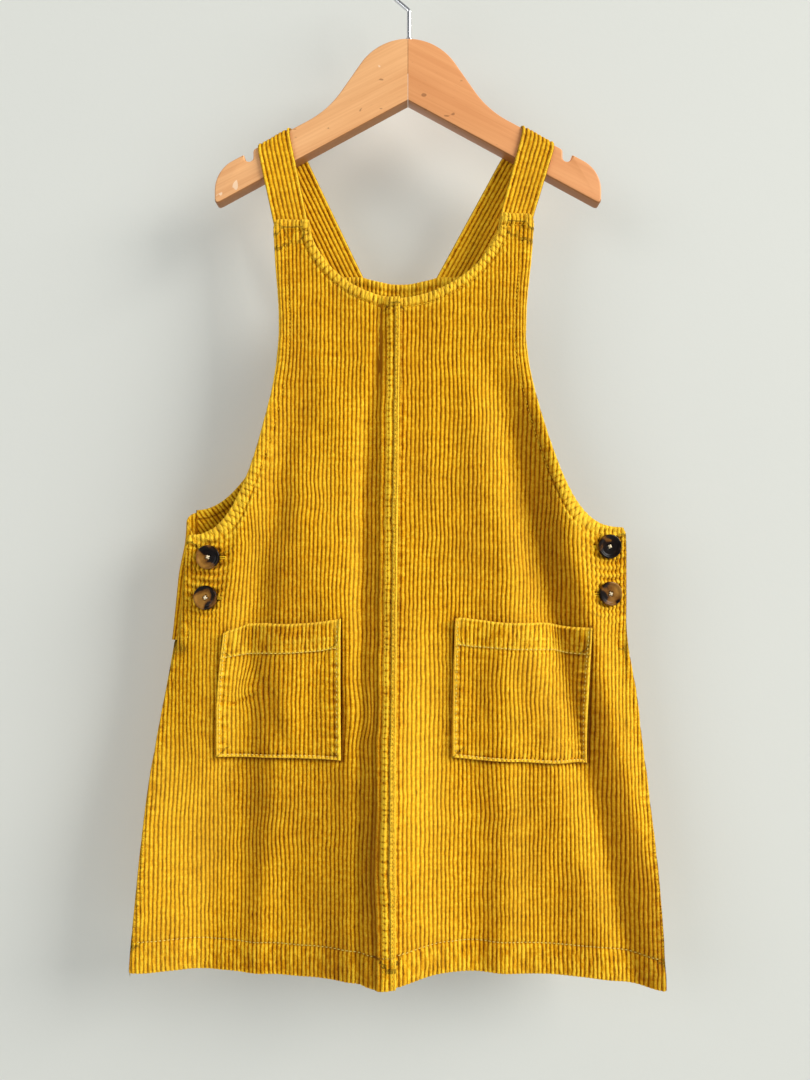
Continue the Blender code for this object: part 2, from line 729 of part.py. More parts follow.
def hook_path():
    """Stem up, a bend to the left, a straight lean, then round the crook to its tip."""
    centre = np.array([0.0, WIRE_R - CROOK_R])
    bend = np.array([STEM_X - BEND_R, BEND_Z])
    gap = centre - bend
    span = np.linalg.norm(gap)
    aim = math.atan2(gap[1], gap[0])
    tilt = math.acos((BEND_R + CROOK_R) / span)
    leave = aim - tilt
    meet = leave + math.pi
    path = [(STEM_X, HANGER_TOP - BORE_DEEP + 0.0006), (STEM_X, HANGER_TOP),
            (STEM_X, BEND_Z - 0.004)]
    for a in np.linspace(0.0, leave, 7):
        path.append((bend[0] + BEND_R * math.cos(a), bend[1] + BEND_R * math.sin(a)))
    for a in np.linspace(meet, CROOK_END, 28):
        path.append((centre[0] + CROOK_R * math.cos(a), centre[1] + CROOK_R * math.sin(a)))
    return path


def ring(name, inner, outer, low, high, x0, colour):
    segments = 28
    profile = [(inner, low), (outer, low), (outer, high - 0.0006),
               (outer - 0.0005, high), (inner, high)]
    count = len(profile)
    verts = []
    for k in range(segments):
        a = 2 * math.pi * k / segments
        verts += [(x0 + r * math.cos(a), r * math.sin(a), z) for r, z in profile]
    faces = []
    for k in range(segments):
        j = (k + 1) % segments
        for i in range(count):
            m = (i + 1) % count
            faces.append((k * count + i, j * count + i, j * count + m, k * count + m))
    mesh = bpy.data.meshes.new(name)
    mesh.from_pydata(verts, [], faces)
    mesh.update()
    return finish(name, mesh, colour, 0.25, 1.0)


def button_frame(x, z):
    """Place, outward direction and two directions across for a button on the front."""
    outer, inner = wall_points(np.array([x]), np.array([z]), front_y, -1.0, np.zeros(1))
    normal = (outer[0] - inner[0]) / WALL
    across = np.cross(normal, (0.0, 0.0, 1.0))
    across /= np.linalg.norm(across)
    up = np.cross(across, normal)
    return outer[0] + normal * 0.0005, normal, across, up


def button(number, row):
    name = "button_%d" % number
    place, normal, across, up = button_frame(row["x"], row["z"])
    segments = 32
    radii, heights = BUTTON_PROFILE["r"], BUTTON_PROFILE["h"]
    verts = [place + normal * heights[0]]
    for r, h in list(zip(radii, heights))[1:-1]:
        for k in range(segments):
            a = 2 * math.pi * k / segments
            verts.append(place + normal * h + across * r * math.cos(a) + up * r * math.sin(a))
    verts.append(place + normal * heights[-1])
    rings = len(radii) - 2
    faces = []
    for k in range(segments):
        j = (k + 1) % segments
        faces.append((0, 1 + j, 1 + k))
        for i in range(rings - 1):
            a, b = 1 + i * segments, 1 + (i + 1) * segments
            faces.append((a + k, a + j, b + j, b + k))
        last = 1 + (rings - 1) * segments
        faces.append((last + k, last + j, len(verts) - 1))
    mesh = bpy.data.meshes.new(name)
    mesh.from_pydata([tuple(v) for v in verts], [], faces)
    mesh.update()
    obj = finish(name, mesh, HORN, 0.25)
    return obj


def main():
    for obj in list(bpy.data.objects):
        bpy.data.objects.remove(obj, do_unlink=True)
    back_panel()
    neck_facing()
    for sign in (-1.0, 1.0):
        front_panel(sign)
        button_stand(sign)
        armhole_facing(sign)
        pocket(sign)
        strap(sign)
    bore = cutter("cut_bore", BORE_R, BORE_DEEP * 2, (STEM_X, 0.0, HANGER_TOP))
    for sign in (-1.0, 1.0):
        cut(hanger_arm(sign), bore)
    tube("hook", hook_path(), WIRE_R, STEEL, 0.2, 1.0)
    ring("hook_collar", COLLAR["inner"], COLLAR["outer"], HANGER_TOP + GAP,
         HANGER_TOP + GAP + COLLAR["tall"], STEM_X, STEEL)
    for number, row in enumerate(BUTTONS, 1):
        button(number, row)


main()
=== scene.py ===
import math

import bmesh
import bpy
import numpy as np
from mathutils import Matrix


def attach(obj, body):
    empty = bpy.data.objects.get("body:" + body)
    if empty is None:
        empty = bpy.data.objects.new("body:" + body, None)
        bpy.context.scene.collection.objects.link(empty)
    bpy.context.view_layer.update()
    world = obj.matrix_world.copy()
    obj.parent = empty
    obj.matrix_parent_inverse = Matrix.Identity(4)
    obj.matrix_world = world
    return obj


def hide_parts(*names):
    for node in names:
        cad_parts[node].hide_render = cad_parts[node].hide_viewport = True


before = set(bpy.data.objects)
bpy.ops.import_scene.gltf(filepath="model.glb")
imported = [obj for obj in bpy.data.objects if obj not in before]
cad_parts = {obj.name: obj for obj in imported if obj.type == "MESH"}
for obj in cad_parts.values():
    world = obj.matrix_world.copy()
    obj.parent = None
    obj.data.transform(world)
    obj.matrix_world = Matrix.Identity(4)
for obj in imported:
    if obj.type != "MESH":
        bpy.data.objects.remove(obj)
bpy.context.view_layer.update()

view = {"place": (-0.0023, -0.638, -0.454), "lens": 27.07, "sensor": 36.0}

camera = bpy.data.objects.new("camera", bpy.data.cameras.new("camera"))
bpy.context.scene.collection.objects.link(camera)
camera.location = view["place"]
camera.rotation_euler = (math.radians(90.0), 0.0, 0.0)
camera.data.lens = view["lens"]
camera.data.sensor_width = view["sensor"]
camera.data.clip_start, camera.data.clip_end = 0.01, 20.0
bpy.context.scene.camera = camera
print("camera ready")

# metres; the same levels and widths as the frame's solids
cut = {
    "wall": 0.0018, "gap": 0.0003, "seamHalf": 0.00195, "lean": 0.0035, "edgePower": 4.5,
    "bibTop": {"left": -0.2060, "right": -0.2010}, "armTop": -0.3340, "hem": -0.7820,
    "centre": -0.0060, "lap": 0.0120,
    "bibHalf": {"left": 0.1040, "right": 0.0975}, "bibBow": {"left": 0.0045, "right": 0.0060},
    "corner": 0.0060, "neckCentre": -0.0077, "neckHalf": {"left": 0.0687, "right": 0.0800},
    "neckLow": -0.2669, "neckPower": 1.8,
    "armOut": 0.1690, "armLow": {"left": -0.4500, "right": -0.4440}, "armPower": 2.6,
    "cornerLift": 0.0030,
    "backTop": -0.2450, "backHalf": 0.0600, "scoopHalf": 0.0300, "scoopDeep": 0.0050,
    "backArmOut": 0.1660, "backArmLow": {"left": -0.4302, "right": -0.4520},
    "backArmPower": {"left": 2.0, "right": 1.8}, "placketLow": -0.5320,
    "standIn": 0.1480, "standOver": {"left": 0.0012, "right": -0.0012},
    "standTop": {"left": -0.4375, "right": -0.4530}, "facing": 0.0240,
}
signs = {"left": -1.0, "right": 1.0}
lapEdges = {"left": cut["centre"], "right": cut["centre"] - cut["lap"]}
edgeTable = {
    "left": {
        "z": (-0.458, -0.500, -0.530, -0.571, -0.593, -0.638, -0.697, -0.755, -0.795),
        "out": (0.1708, 0.1738, 0.1765, 0.1865, 0.1908, 0.1968, 0.2014, 0.2070, 0.2098),
    },
    "right": {
        "z": (-0.452, -0.490, -0.530, -0.578, -0.638, -0.697, -0.755, -0.798),
        "out": (0.1715, 0.1722, 0.1732, 0.1830, 0.1905, 0.1955, 0.1980, 0.1995),
    },
    "backLeft": {
        "z": (-0.458, -0.500, -0.530, -0.571, -0.593, -0.638, -0.697, -0.755, -0.795),
        "out": (0.1748, 0.1785, 0.1812, 0.1878, 0.1914, 0.1969, 0.2014, 0.2070, 0.2098),
    },
}
depthTable = {
    "z": (-0.200, -0.335, -0.450, -0.530, -0.600, -0.790),
    "front": (0.0105, 0.0125, 0.0150, 0.0166, 0.0180, 0.0220),
    "back": (0.0130, 0.0140, 0.0160, 0.0179, 0.0195, 0.0240),
    "side": (0.0055, 0.0055, 0.0080, 0.0060, 0.00195, 0.00195),
}
hemTable = {
    "x": (-0.214, -0.180, -0.150, -0.120, -0.060, -0.015, 0.030, 0.090, 0.140, 0.170, 0.200),
    "drop": (0.0016, 0.0016, 0.0028, 0.0027, 0.0026, 0.0036, -0.0004, 0.0012, 0.0052, 0.0090, 0.0142),
}
# folds, deeper than the frame's: where each stands high up and at the hem, the level it starts at
# and is full at, how far it stands out, its half width, and its haste: how soon it is full
frontFolds = (
    (-0.0080, -0.0150, -0.440, -0.790, 0.0140, 0.0260, 1.4),
    (-0.0100, -0.0180, -0.480, -0.790, 0.0070, 0.0520, 1.2),
    (0.0620, 0.1790, -0.290, -0.790, -0.0112, 0.0155, 4.0),
    (0.0890, 0.2060, -0.290, -0.790, 0.0062, 0.0150, 4.0),
    (0.0800, 0.0750, -0.420, -0.520, 0.0030, 0.0140, 1.0),
    (-0.0260, -0.0330, -0.290, -0.420, -0.0030, 0.0060, 1.0),
    (-0.0780, -0.1180, -0.300, -0.520, -0.0042, 0.0150, 2.5),
    (-0.1150, -0.1500, -0.500, -0.760, -0.0062, 0.0210, 1.5),
    (-0.1000, -0.1120, -0.560, -0.760, 0.0026, 0.0120, 1.0),
    (0.0550, 0.0600, -0.640, -0.780, -0.0022, 0.0200, 1.0),
)
backFolds = (
    (-0.1000, -0.1150, -0.360, -0.740, 0.0080, 0.0220, 1.0),
    (-0.0500, -0.0550, -0.420, -0.760, -0.0050, 0.0200, 1.0),
    (0.0150, 0.0250, -0.380, -0.780, 0.0100, 0.0260, 1.0),
    (0.0800, 0.0850, -0.480, -0.740, -0.0045, 0.0180, 1.0),
    (0.1250, 0.1400, -0.420, -0.700, 0.0070, 0.0200, 1.0),
)
sways = (
    (0.2000, 0.2100, -0.600, -0.790, 0.0230, 0.0480, 1.0),
    (-0.2050, -0.2150, -0.560, -0.740, 0.0200, 0.0340, 1.2),
)

# the corduroy itself: rib spacing, how deep the furrows are, softness of edges
rib = {"pitch": 0.0032, "deep": 0.00080, "power": 0.50, "roll": 0.0015}

# small creases, one by one: x, z, turn in degrees, length, half width, height
frontCreases = (
    (-0.0560, -0.4200, 2.0, 0.070, 0.0016, -0.00060),
    (-0.0600, -0.4240, 4.0, 0.050, 0.0022, 0.00040),
    (0.0245, -0.4065, -19.0, 0.020, 0.0014, -0.00070),
    (0.0300, -0.4010, -14.0, 0.016, 0.0018, 0.00045),
    (-0.0290, -0.4540, 5.0, 0.014, 0.0014, -0.00060),
    (0.0207, -0.4480, -8.0, 0.012, 0.0013, -0.00060),
    (-0.0900, -0.6790, 3.0, 0.120, 0.0020, -0.00050),
    (-0.0700, -0.6850, -2.0, 0.080, 0.0030, 0.00045),
    (-0.1250, -0.4300, 38.0, 0.060, 0.0060, 0.00110),
    (-0.1100, -0.4550, 50.0, 0.050, 0.0050, -0.00080),
    (-0.0850, -0.3900, 62.0, 0.060, 0.0050, 0.00070),
    (0.0900, -0.4000, -58.0, 0.070, 0.0060, 0.00090),
    (0.1250, -0.4450, -40.0, 0.050, 0.0060, 0.00090),
    (0.1350, -0.4900, -75.0, 0.050, 0.0050, -0.00070),
    (-0.0650, -0.5600, 78.0, 0.090, 0.0050, -0.00050),
    (0.0150, -0.5700, 84.0, 0.120, 0.0060, -0.00070),
    (-0.0450, -0.6400, 82.0, 0.140, 0.0070, 0.00080),
    (0.0350, -0.6700, 86.0, 0.150, 0.0080, 0.00080),
    (0.0900, -0.7000, 80.0, 0.120, 0.0080, 0.00070),
    (-0.1500, -0.6900, 74.0, 0.120, 0.0080, 0.00080),
    (0.1500, -0.6900, -80.0, 0.120, 0.0080, 0.00070),
    (-0.0500, -0.3300, 4.0, 0.060, 0.0030, -0.00030),
    (0.0500, -0.3550, -3.0, 0.070, 0.0030, 0.00035),
    (0.0600, -0.6600, -4.0, 0.090, 0.0022, -0.00040),
    (-0.1650, -0.6100, 10.0, 0.030, 0.0020, -0.00050),
    (0.1700, -0.5700, -8.0, 0.026, 0.0020, -0.00050),
    (-0.1270, -0.4480, 76.0, 0.130, 0.0050, 0.00140),
    (-0.1360, -0.4560, 76.0, 0.110, 0.0045, -0.00090),
    (-0.1180, -0.5000, 80.0, 0.070, 0.0050, -0.00070),
    (0.1180, -0.4250, -72.0, 0.090, 0.0060, -0.00120),
    (0.1060, -0.4300, -74.0, 0.080, 0.0050, 0.00110),
    (0.1330, -0.4700, -80.0, 0.080, 0.0045, 0.00110),
    (-0.0200, -0.3000, 84.0, 0.070, 0.0035, -0.00130),
    (-0.0290, -0.3050, 82.0, 0.060, 0.0035, 0.00080),
)
backCreases = (
    (-0.0700, -0.4100, 3.0, 0.080, 0.0020, -0.00060),
    (0.0600, -0.4300, -4.0, 0.070, 0.0020, -0.00055),
    (-0.1200, -0.4400, 42.0, 0.060, 0.0060, 0.00110),
    (0.1200, -0.4500, -44.0, 0.060, 0.0060, 0.00100),
    (0.0100, -0.3300, 2.0, 0.060, 0.0030, 0.00040),
    (-0.0500, -0.6100, 84.0, 0.140, 0.0070, 0.00080),
    (0.0700, -0.6500, 86.0, 0.150, 0.0080, 0.00080),
    (-0.1400, -0.6700, 78.0, 0.120, 0.0080, 0.00080),
    (0.1500, -0.6800, -80.0, 0.120, 0.0080, 0.00070),
    (0.0100, -0.6900, -2.0, 0.130, 0.0022, -0.00050),
    (-0.0800, -0.5200, 5.0, 0.050, 0.0022, -0.00045),
    (0.0900, -0.5450, -3.0, 0.060, 0.0024, 0.00045),
)


# places where the ribs are pushed sideways: x, z, half width, half height, shift
frontBends = (
    (-0.1330, -0.4580, 0.020, 0.040, 0.0040), (-0.0360, -0.5860, 0.012, 0.020, 0.0024),
    (-0.0300, -0.6080, 0.010, 0.012, -0.0016), (0.1280, -0.4500, 0.020, 0.036, -0.0036),
    (0.0180, -0.4520, 0.016, 0.014, 0.0013), (-0.0240, -0.7000, 0.014, 0.030, -0.0018),
    (-0.0800, -0.4240, 0.022, 0.010, 0.0012), (0.0700, -0.6600, 0.020, 0.016, 0.0014),
    (-0.1000, -0.6800, 0.024, 0.014, -0.0014), (0.0240, -0.5700, 0.010, 0.030, 0.0016),
    (0.0900, -0.4900, 0.016, 0.022, 0.0014), (-0.1700, -0.6300, 0.014, 0.030, 0.0018),
    (-0.0500, -0.4900, 0.016, 0.018, -0.0012), (0.0400, -0.3600, 0.020, 0.020, 0.0010),
)


def bothSides(make):
    return {side: make(side) for side in signs}


def unit(ways):
    return ways / np.linalg.norm(ways, axis=-1, keepdims=True)


def roundAngles(count):
    # a full turn in even steps, without its end
    return np.linspace(0, 2 * np.pi, count + 1)[:-1]


def spot(x, z, cx, cz, wide, tall):
    # a bell both ways round one place
    return np.exp(-(((x - cx) / wide) ** 2) - (((z - cz) / tall) ** 2))


def bent(x, z, rows):
    return sum(shift * spot(x, z, cx, cz, wide, tall) for cx, cz, wide, tall, shift in rows)


def hill(d, width, power=2):
    # a bell of height 1, round for power 2, flatter on top for 4
    return np.exp(-((d / width) ** power))


def ease(t):
    # a smooth step: 3t squared less 2t cubed, held between 0 and 1
    t = np.clip(t, 0.0, 1.0)
    return t * t * (3.0 - 2.0 * t)


def down(z, levels, values):
    # reads a table whose levels fall
    return np.interp(-np.asarray(z, float), [-v for v in levels], values)


def cloud(u, v, seed):
    # smooth noise from -1 to 1: a scrambled value at every whole number, eased between
    iu, iv = np.floor(u), np.floor(v)
    fu, fv = ease(u - iu), ease(v - iv)

    def at(a, b):
        h = np.sin(a * 127.1 + b * 311.7 + seed * 74.7) * 43758.5453
        return h - np.floor(h)

    low = at(iu, iv) * (1 - fu) + at(iu + 1, iv) * fu
    high = at(iu, iv + 1) * (1 - fu) + at(iu + 1, iv + 1) * fu
    return 2.0 * (low * (1 - fv) + high * fv) - 1.0


def softened(x, y, spread, step=0.0005):
    # a table read at close steps and averaged over spread on each side, so it has no corners
    pad = spread * 1.5
    at = np.arange(x[0] - pad, x[-1] + pad, step)
    value = np.interp(at, x, y)
    value += np.where(at < x[0], (at - x[0]) * (y[1] - y[0]) / (x[1] - x[0]), 0.0)
    value += np.where(at > x[-1], (at - x[-1]) * (y[-1] - y[-2]) / (x[-1] - x[-2]), 0.0)
    bell = np.hanning(int(2 * spread / step) | 1)
    value = np.convolve(value, bell / bell.sum(), "same")
    keep = (at >= x[0] - step) & (at <= x[-1] + step)
    return at[keep], value[keep]


softEdge = {key: softened(-np.array(t["z"]), np.array(t["out"]), 0.016) for key, t in edgeTable.items()}
softHem = softened(np.array(hemTable["x"]), np.array(hemTable["drop"]), 0.018)


def edgeOut(z, side):
    return np.interp(-np.asarray(z, float), *softEdge[side])


def foldAt(x, z, row):
    # a bell across the fold that grows on the way down, at its own haste, and drifts sideways
    xHigh, xLow, zStart, zFull, out, spread, haste = row
    fall = np.clip((zStart - z) / (zStart - zFull), 0.0, 1.0)
    return out * ease(haste * fall) * hill(x - xHigh - (xLow - xHigh) * fall, spread)


def foldShading(x, z):
    # how the folds turn the cloth, as painted light and shade: paler on a fold's right flank, which faces
    # the light, darker on its left
    slope = sum(foldAt(x - 0.003, z, row) - foldAt(x + 0.003, z, row) for row in frontFolds + sways) / 0.006
    return np.clip(1.1 * slope, -0.46, 0.30)


def creased(x, z, rows):
    # each crease is a bell across its line, held along its length and faded at its ends
    total = np.zeros(np.broadcast(x, z).shape)
    for cx, cz, turn, length, width, height in rows:
        a = math.radians(turn)
        run = (x - cx) * math.cos(a) + (z - cz) * math.sin(a)
        across = (z - cz) * math.cos(a) - (x - cx) * math.sin(a)
        across = across + 0.0012 * np.sin(run / 0.011 + cx * 900.0)
        total += height * np.exp(-((across / width) ** 2) - (2.0 * run / length) ** 4)
    return total


def rumple(x, z, seed):
    # the cloth's own unevenness: broad swells, and small puckers that run across the ribs
    broad = 0.00165 * cloud(x / 0.021 + 0.6 * np.sin(z / 0.070), z / 0.095, seed)
    small = 0.00060 * cloud(x / 0.017, z / 0.0130, seed + 3)
    fine = 0.00018 * cloud(x / 0.0075, z / 0.0052, seed + 7)
    return broad + small + fine


def roundness(x, z, left="left"):
    out = np.where(x < 0, edgeOut(z, left), edgeOut(z, "right"))
    return np.clip(np.abs(x) / out, 0.0, 1.0)


def frontY(x, z):
    # flat in the middle, rounding back to the side edges, with folds and creases on it
    full = down(z, depthTable["z"], depthTable["front"])
    side = down(z, depthTable["z"], depthTable["side"])
    keep = 1.0 - roundness(x, z) ** cut["edgePower"]
    y = -side - (full - side) * keep
    for row in frontFolds:
        y = y - foldAt(x, z, row) * keep
    y = y - (creased(x, z, frontCreases) + rumple(x, z, 2)) * keep
    return y - sum(foldAt(x, z, row) for row in sways)


def backY(x, z):
    full = down(z, depthTable["z"], depthTable["back"])
    side = np.maximum(down(z, depthTable["z"], depthTable["side"]) * 0.85, cut["seamHalf"])
    keep = 1.0 - roundness(x, z, "backLeft") ** cut["edgePower"]
    y = side + (full - side) * keep
    for row in backFolds:
        y = y + foldAt(x, z, row) * keep
    y = y + (creased(x, z, backCreases) + rumple(x, z, 31)) * keep * ease((-0.30 - z) / 0.03)
    return y - sum(foldAt(x, z, row) for row in sways)


def lean(x, z):
    return x - cut["lean"] * ease((-0.20 - z) / 0.50)


def onSurface(x, z, surface, away):
    # a point of the height field and its unit normal, from slopes taken over 0.8 mm
    step = 0.0004
    slopeX = (surface(x + step, z) - surface(x - step, z)) / (2 * step)
    slopeZ = (surface(x, z + step) - surface(x, z - step)) / (2 * step)
    size = np.sqrt(1.0 + slopeX**2 + slopeZ**2)
    normal = np.stack([-slopeX / size, 1.0 / size, -slopeZ / size], axis=-1) * away
    return np.stack([lean(x, z), surface(x, z), z + 0 * x], axis=-1), normal


def hemZ(x):
    return cut["hem"] - np.interp(x, *softHem)


def bibTop(x, side):
    # the neckline is a superellipse, the strap seat is level with one rounded corner
    top = cut["bibTop"][side]
    u = np.clip(np.abs(x - cut["neckCentre"]) / cut["neckHalf"][side], 0.0, 1.0)
    p = cut["neckPower"]
    neck = top - (top - cut["neckLow"]) * (1.0 - u**p) ** (1.0 / p)
    away = np.clip(cut["bibHalf"][side] - np.abs(x), 0.0, cut["corner"])
    r = cut["corner"]
    rounded = r - np.sqrt(np.maximum(r**2 - (r - away) ** 2, 0.0))
    return np.where(u < 1.0, neck, top - rounded)


def sideTop(out, side):
    # armhole curve, then the flap's edge and the side seam
    start = cut["bibHalf"][side]
    u = np.clip((out - start) / (cut["armOut"] - start), 0.0, 1.0)
    arm = cut["armTop"] - (cut["armTop"] - cut["armLow"][side]) * (1.0 - (1.0 - u) ** cut["armPower"])
    fall, reach = softEdge[side]
    beyond = np.interp(out, np.append(cut["armOut"], reach), -np.append(-cut["armLow"][side], fall))
    return np.where(out <= cut["armOut"], arm, beyond)


def cornerOut(side):
    drop = hemTable["drop"][-1 if side == "right" else 0]
    return float(edgeOut(cut["hem"] - drop + cut["cornerLift"], side))


def backTop(x):
    side = np.where(x < 0, -1, 1)
    out = np.abs(x)
    scoop = cut["scoopDeep"] * (1.0 - np.clip(np.abs(x - cut["centre"]) / cut["scoopHalf"], 0, 1) ** 2)
    start = cut["backHalf"] + side * cut["centre"]
    u = np.clip((out - start) / (cut["backArmOut"] - start), 0.0, 1.0)
    low = np.where(x < 0, cut["backArmLow"]["left"], cut["backArmLow"]["right"])
    power = np.where(x < 0, cut["backArmPower"]["left"], cut["backArmPower"]["right"])
    arm = (cut["backTop"] - low) * (1.0 - (1.0 - u) ** power)
    seam = [-np.interp(out, softEdge[key][1], softEdge[key][0]) for key in ("backLeft", "right")]
    seam = np.minimum(np.where(x < 0, seam[0], seam[1]), cut["placketLow"] - cut["gap"])
    return np.where(out > cut["backArmOut"] + 0.00075, seam, cut["backTop"] - scoop - arm)


def ribShape(wale):
    # a rib is a rounded hump between two narrow furrows, one for each whole number
    return np.abs(np.sin(np.pi * wale)) ** rib["power"]


def rolled(d, r=None):
    # how far a turned edge falls away: a quarter circle over the last r metres
    r = rib["roll"] if r is None else r
    near = r - np.clip(d, 0.0, r)
    return r - np.sqrt(np.maximum(r * r - near * near, 0.0))


def groove(d, at, width, deep):
    return -deep * hill(d - at, width)


def pucker(s, seed):
    # uneven gathers along a seam, 0 to 1
    both = 1.3 * cloud(s / 0.0042, s * 0 + seed, seed) + 0.5 * cloud(s / 0.0105, s * 0, seed + 5)
    return 0.5 + 0.5 * np.clip(both, -1, 1)


def summed(steps):
    return np.concatenate([[0.0], np.cumsum(steps)])


def lengths(path):
    # how far along a flat path each of its points is
    return summed(np.hypot(*np.diff(path, axis=0).T))


def nearPath(x, z, path):
    # distance to a path of closely spaced points, and how far along it the nearest one is
    far = np.empty(x.size)
    run = np.empty(x.size)
    length = lengths(path)
    fx, fz = x.ravel(), z.ravel()
    block = 20000
    for start in range(0, fx.size, block):
        part = slice(start, start + block)
        square = (fx[part, None] - path[None, :, 0]) ** 2 + (fz[part, None] - path[None, :, 1]) ** 2
        best = np.argmin(square, axis=1)
        far[part] = np.sqrt(square[np.arange(best.size), best])
        run[part] = length[best]
    return far.reshape(x.shape), run.reshape(x.shape)


def evenly(path, step):
    # the same path with points a fixed step apart
    length = lengths(path)
    at = np.linspace(0.0, length[-1], max(2, int(length[-1] / step) + 1))
    return np.stack([np.interp(at, length, path[:, 0]), np.interp(at, length, path[:, 1])], axis=1)


def moved(path, amount):
    # the path moved sideways, to its left when walking along it
    way = unit(np.gradient(path, axis=0))
    return path + np.stack([-way[:, 1], way[:, 0]], axis=1) * amount


pockets = {
    "left": {"xMouth": (-0.1386, -0.0496), "xFoot": (-0.1446, -0.0470),
             "zMouth": (-0.5250, -0.5150), "zFoot": (-0.6215, -0.6205), "ribs": 29,
             "mouthWave": ((0.0, 0.04, 0.12, 0.21, 0.35, 0.6, 0.8, 1.0),
                 (-0.0004, 0.0010, 0.0026, 0.0044, 0.0036, 0.0012, 0.0005, 0.0010)),
             "footWave": ((0.0, 0.2, 0.5, 0.8, 1.0), (0.0004, 0.0, 0.0008, 0.0006, 0.0))},
    "right": {"xMouth": (0.0385, 0.1430), "xFoot": (0.0370, 0.1425),
              "zMouth": (-0.5140, -0.5210), "zFoot": (-0.6190, -0.6270), "ribs": 33,
              "mouthWave": ((0.0, 0.04, 0.12, 0.35, 0.6, 0.85, 1.0),
                  (0.0000, 0.0012, 0.0004, -0.0004, 0.0006, -0.0004, 0.0)),
              "footWave": ((0.0, 0.2, 0.5, 0.8, 1.0), (0.0, -0.0006, 0.0003, -0.0005, 0.0))},
    "gap": 0.0006, "puff": 0.0018, "band": 0.0200, "bandSecond": 0.0125, "edge": 0.0024,
    # creases in pocket shares: across, down, turn, length, half width, height in metres
    "leftCreases": (
        (0.065, 0.550, 17.0, 0.017, 0.0013, -0.0017), (0.215, 0.535, -23.0, 0.021, 0.0013, -0.0016),
        (0.065, 0.578, 17.0, 0.016, 0.0013, 0.0009), (0.215, 0.563, -23.0, 0.020, 0.0013, 0.0008),
        (0.30, 0.33, 62.0, 0.040, 0.0035, -0.0009), (0.60, 0.70, 70.0, 0.050, 0.0060, 0.0009),
        (0.45, 0.62, 80.0, 0.050, 0.0050, -0.0007), (0.25, 0.12, 88.0, 0.020, 0.0030, -0.0008),
        (0.82, 0.45, 6.0, 0.020, 0.0013, -0.0005), (0.85, 0.70, -5.0, 0.018, 0.0014, -0.0006),
        (0.80, 0.30, 3.0, 0.022, 0.0013, -0.0005), (0.88, 0.85, 4.0, 0.016, 0.0014, -0.0006),
    ),
    "rightCreases": (
        (0.40, 0.50, 82.0, 0.060, 0.0060, 0.0009), (0.75, 0.35, 8.0, 0.030, 0.0020, -0.0006),
        (0.20, 0.62, 70.0, 0.050, 0.0050, -0.0008), (0.62, 0.72, 96.0, 0.050, 0.0055, -0.0008),
        (0.10, 0.42, 5.0, 0.018, 0.0014, -0.0006), (0.12, 0.70, -4.0, 0.018, 0.0014, -0.0006),
        (0.88, 0.55, 4.0, 0.020, 0.0014, -0.0006), (0.86, 0.82, -6.0, 0.020, 0.0014, -0.0006),
        (0.50, 0.88, 2.0, 0.040, 0.0016, -0.0005),
    ),
}


def pocketSize(side):
    p = pockets[side]
    return p["xMouth"][1] - p["xMouth"][0], p["zMouth"][0] - p["zFoot"][0]


def pocketPlace(side, u, v):
    # corners blended both ways, with a slight swell at the outer edge and a wavy mouth
    p = pockets[side]

    def mix(mouth, foot):
        return (mouth[0] * (1 - u) + mouth[1] * u) * (1 - v) + (foot[0] * (1 - u) + foot[1] * u) * v

    swell = 0.0022 * np.sin(np.pi * v) * np.where(u < 0.5, 1 - 2 * u, 0.0)
    x = mix(p["xMouth"], p["xFoot"]) - (swell if side == "left" else 0.3 * swell)
    x = x + (1 - v) ** 4 * (0.0016 * (u - 0.5) if side == "left" else 0.0)
    mouth, foot = np.interp(u, *p["mouthWave"]), np.interp(u, *p["footWave"])
    z = mix(p["zMouth"], p["zFoot"]) + mouth * (1 - v) ** 3 + foot * v**3
    puff = pockets["puff"] * np.sin(np.pi * u) ** 0.7 * (1 - v**3) * (0.55 + 0.45 * (1 - v))
    return x, z, pockets["gap"] + cut["wall"] + puff + 0.0004


def bowAt(x, z, side):
    # the bib's sides pull in between the strap seat and the armhole
    sign = signs[side]
    top = bibTop(x, side)
    v = np.clip((top - z) / (top - cut["armTop"]), 0.0, 1.0)
    near = np.exp(-np.maximum(cut["bibHalf"][side] - np.abs(x), 0.0) / 0.014)
    return -sign * cut["bibBow"][side] * np.sin(np.pi * v**1.6) * near


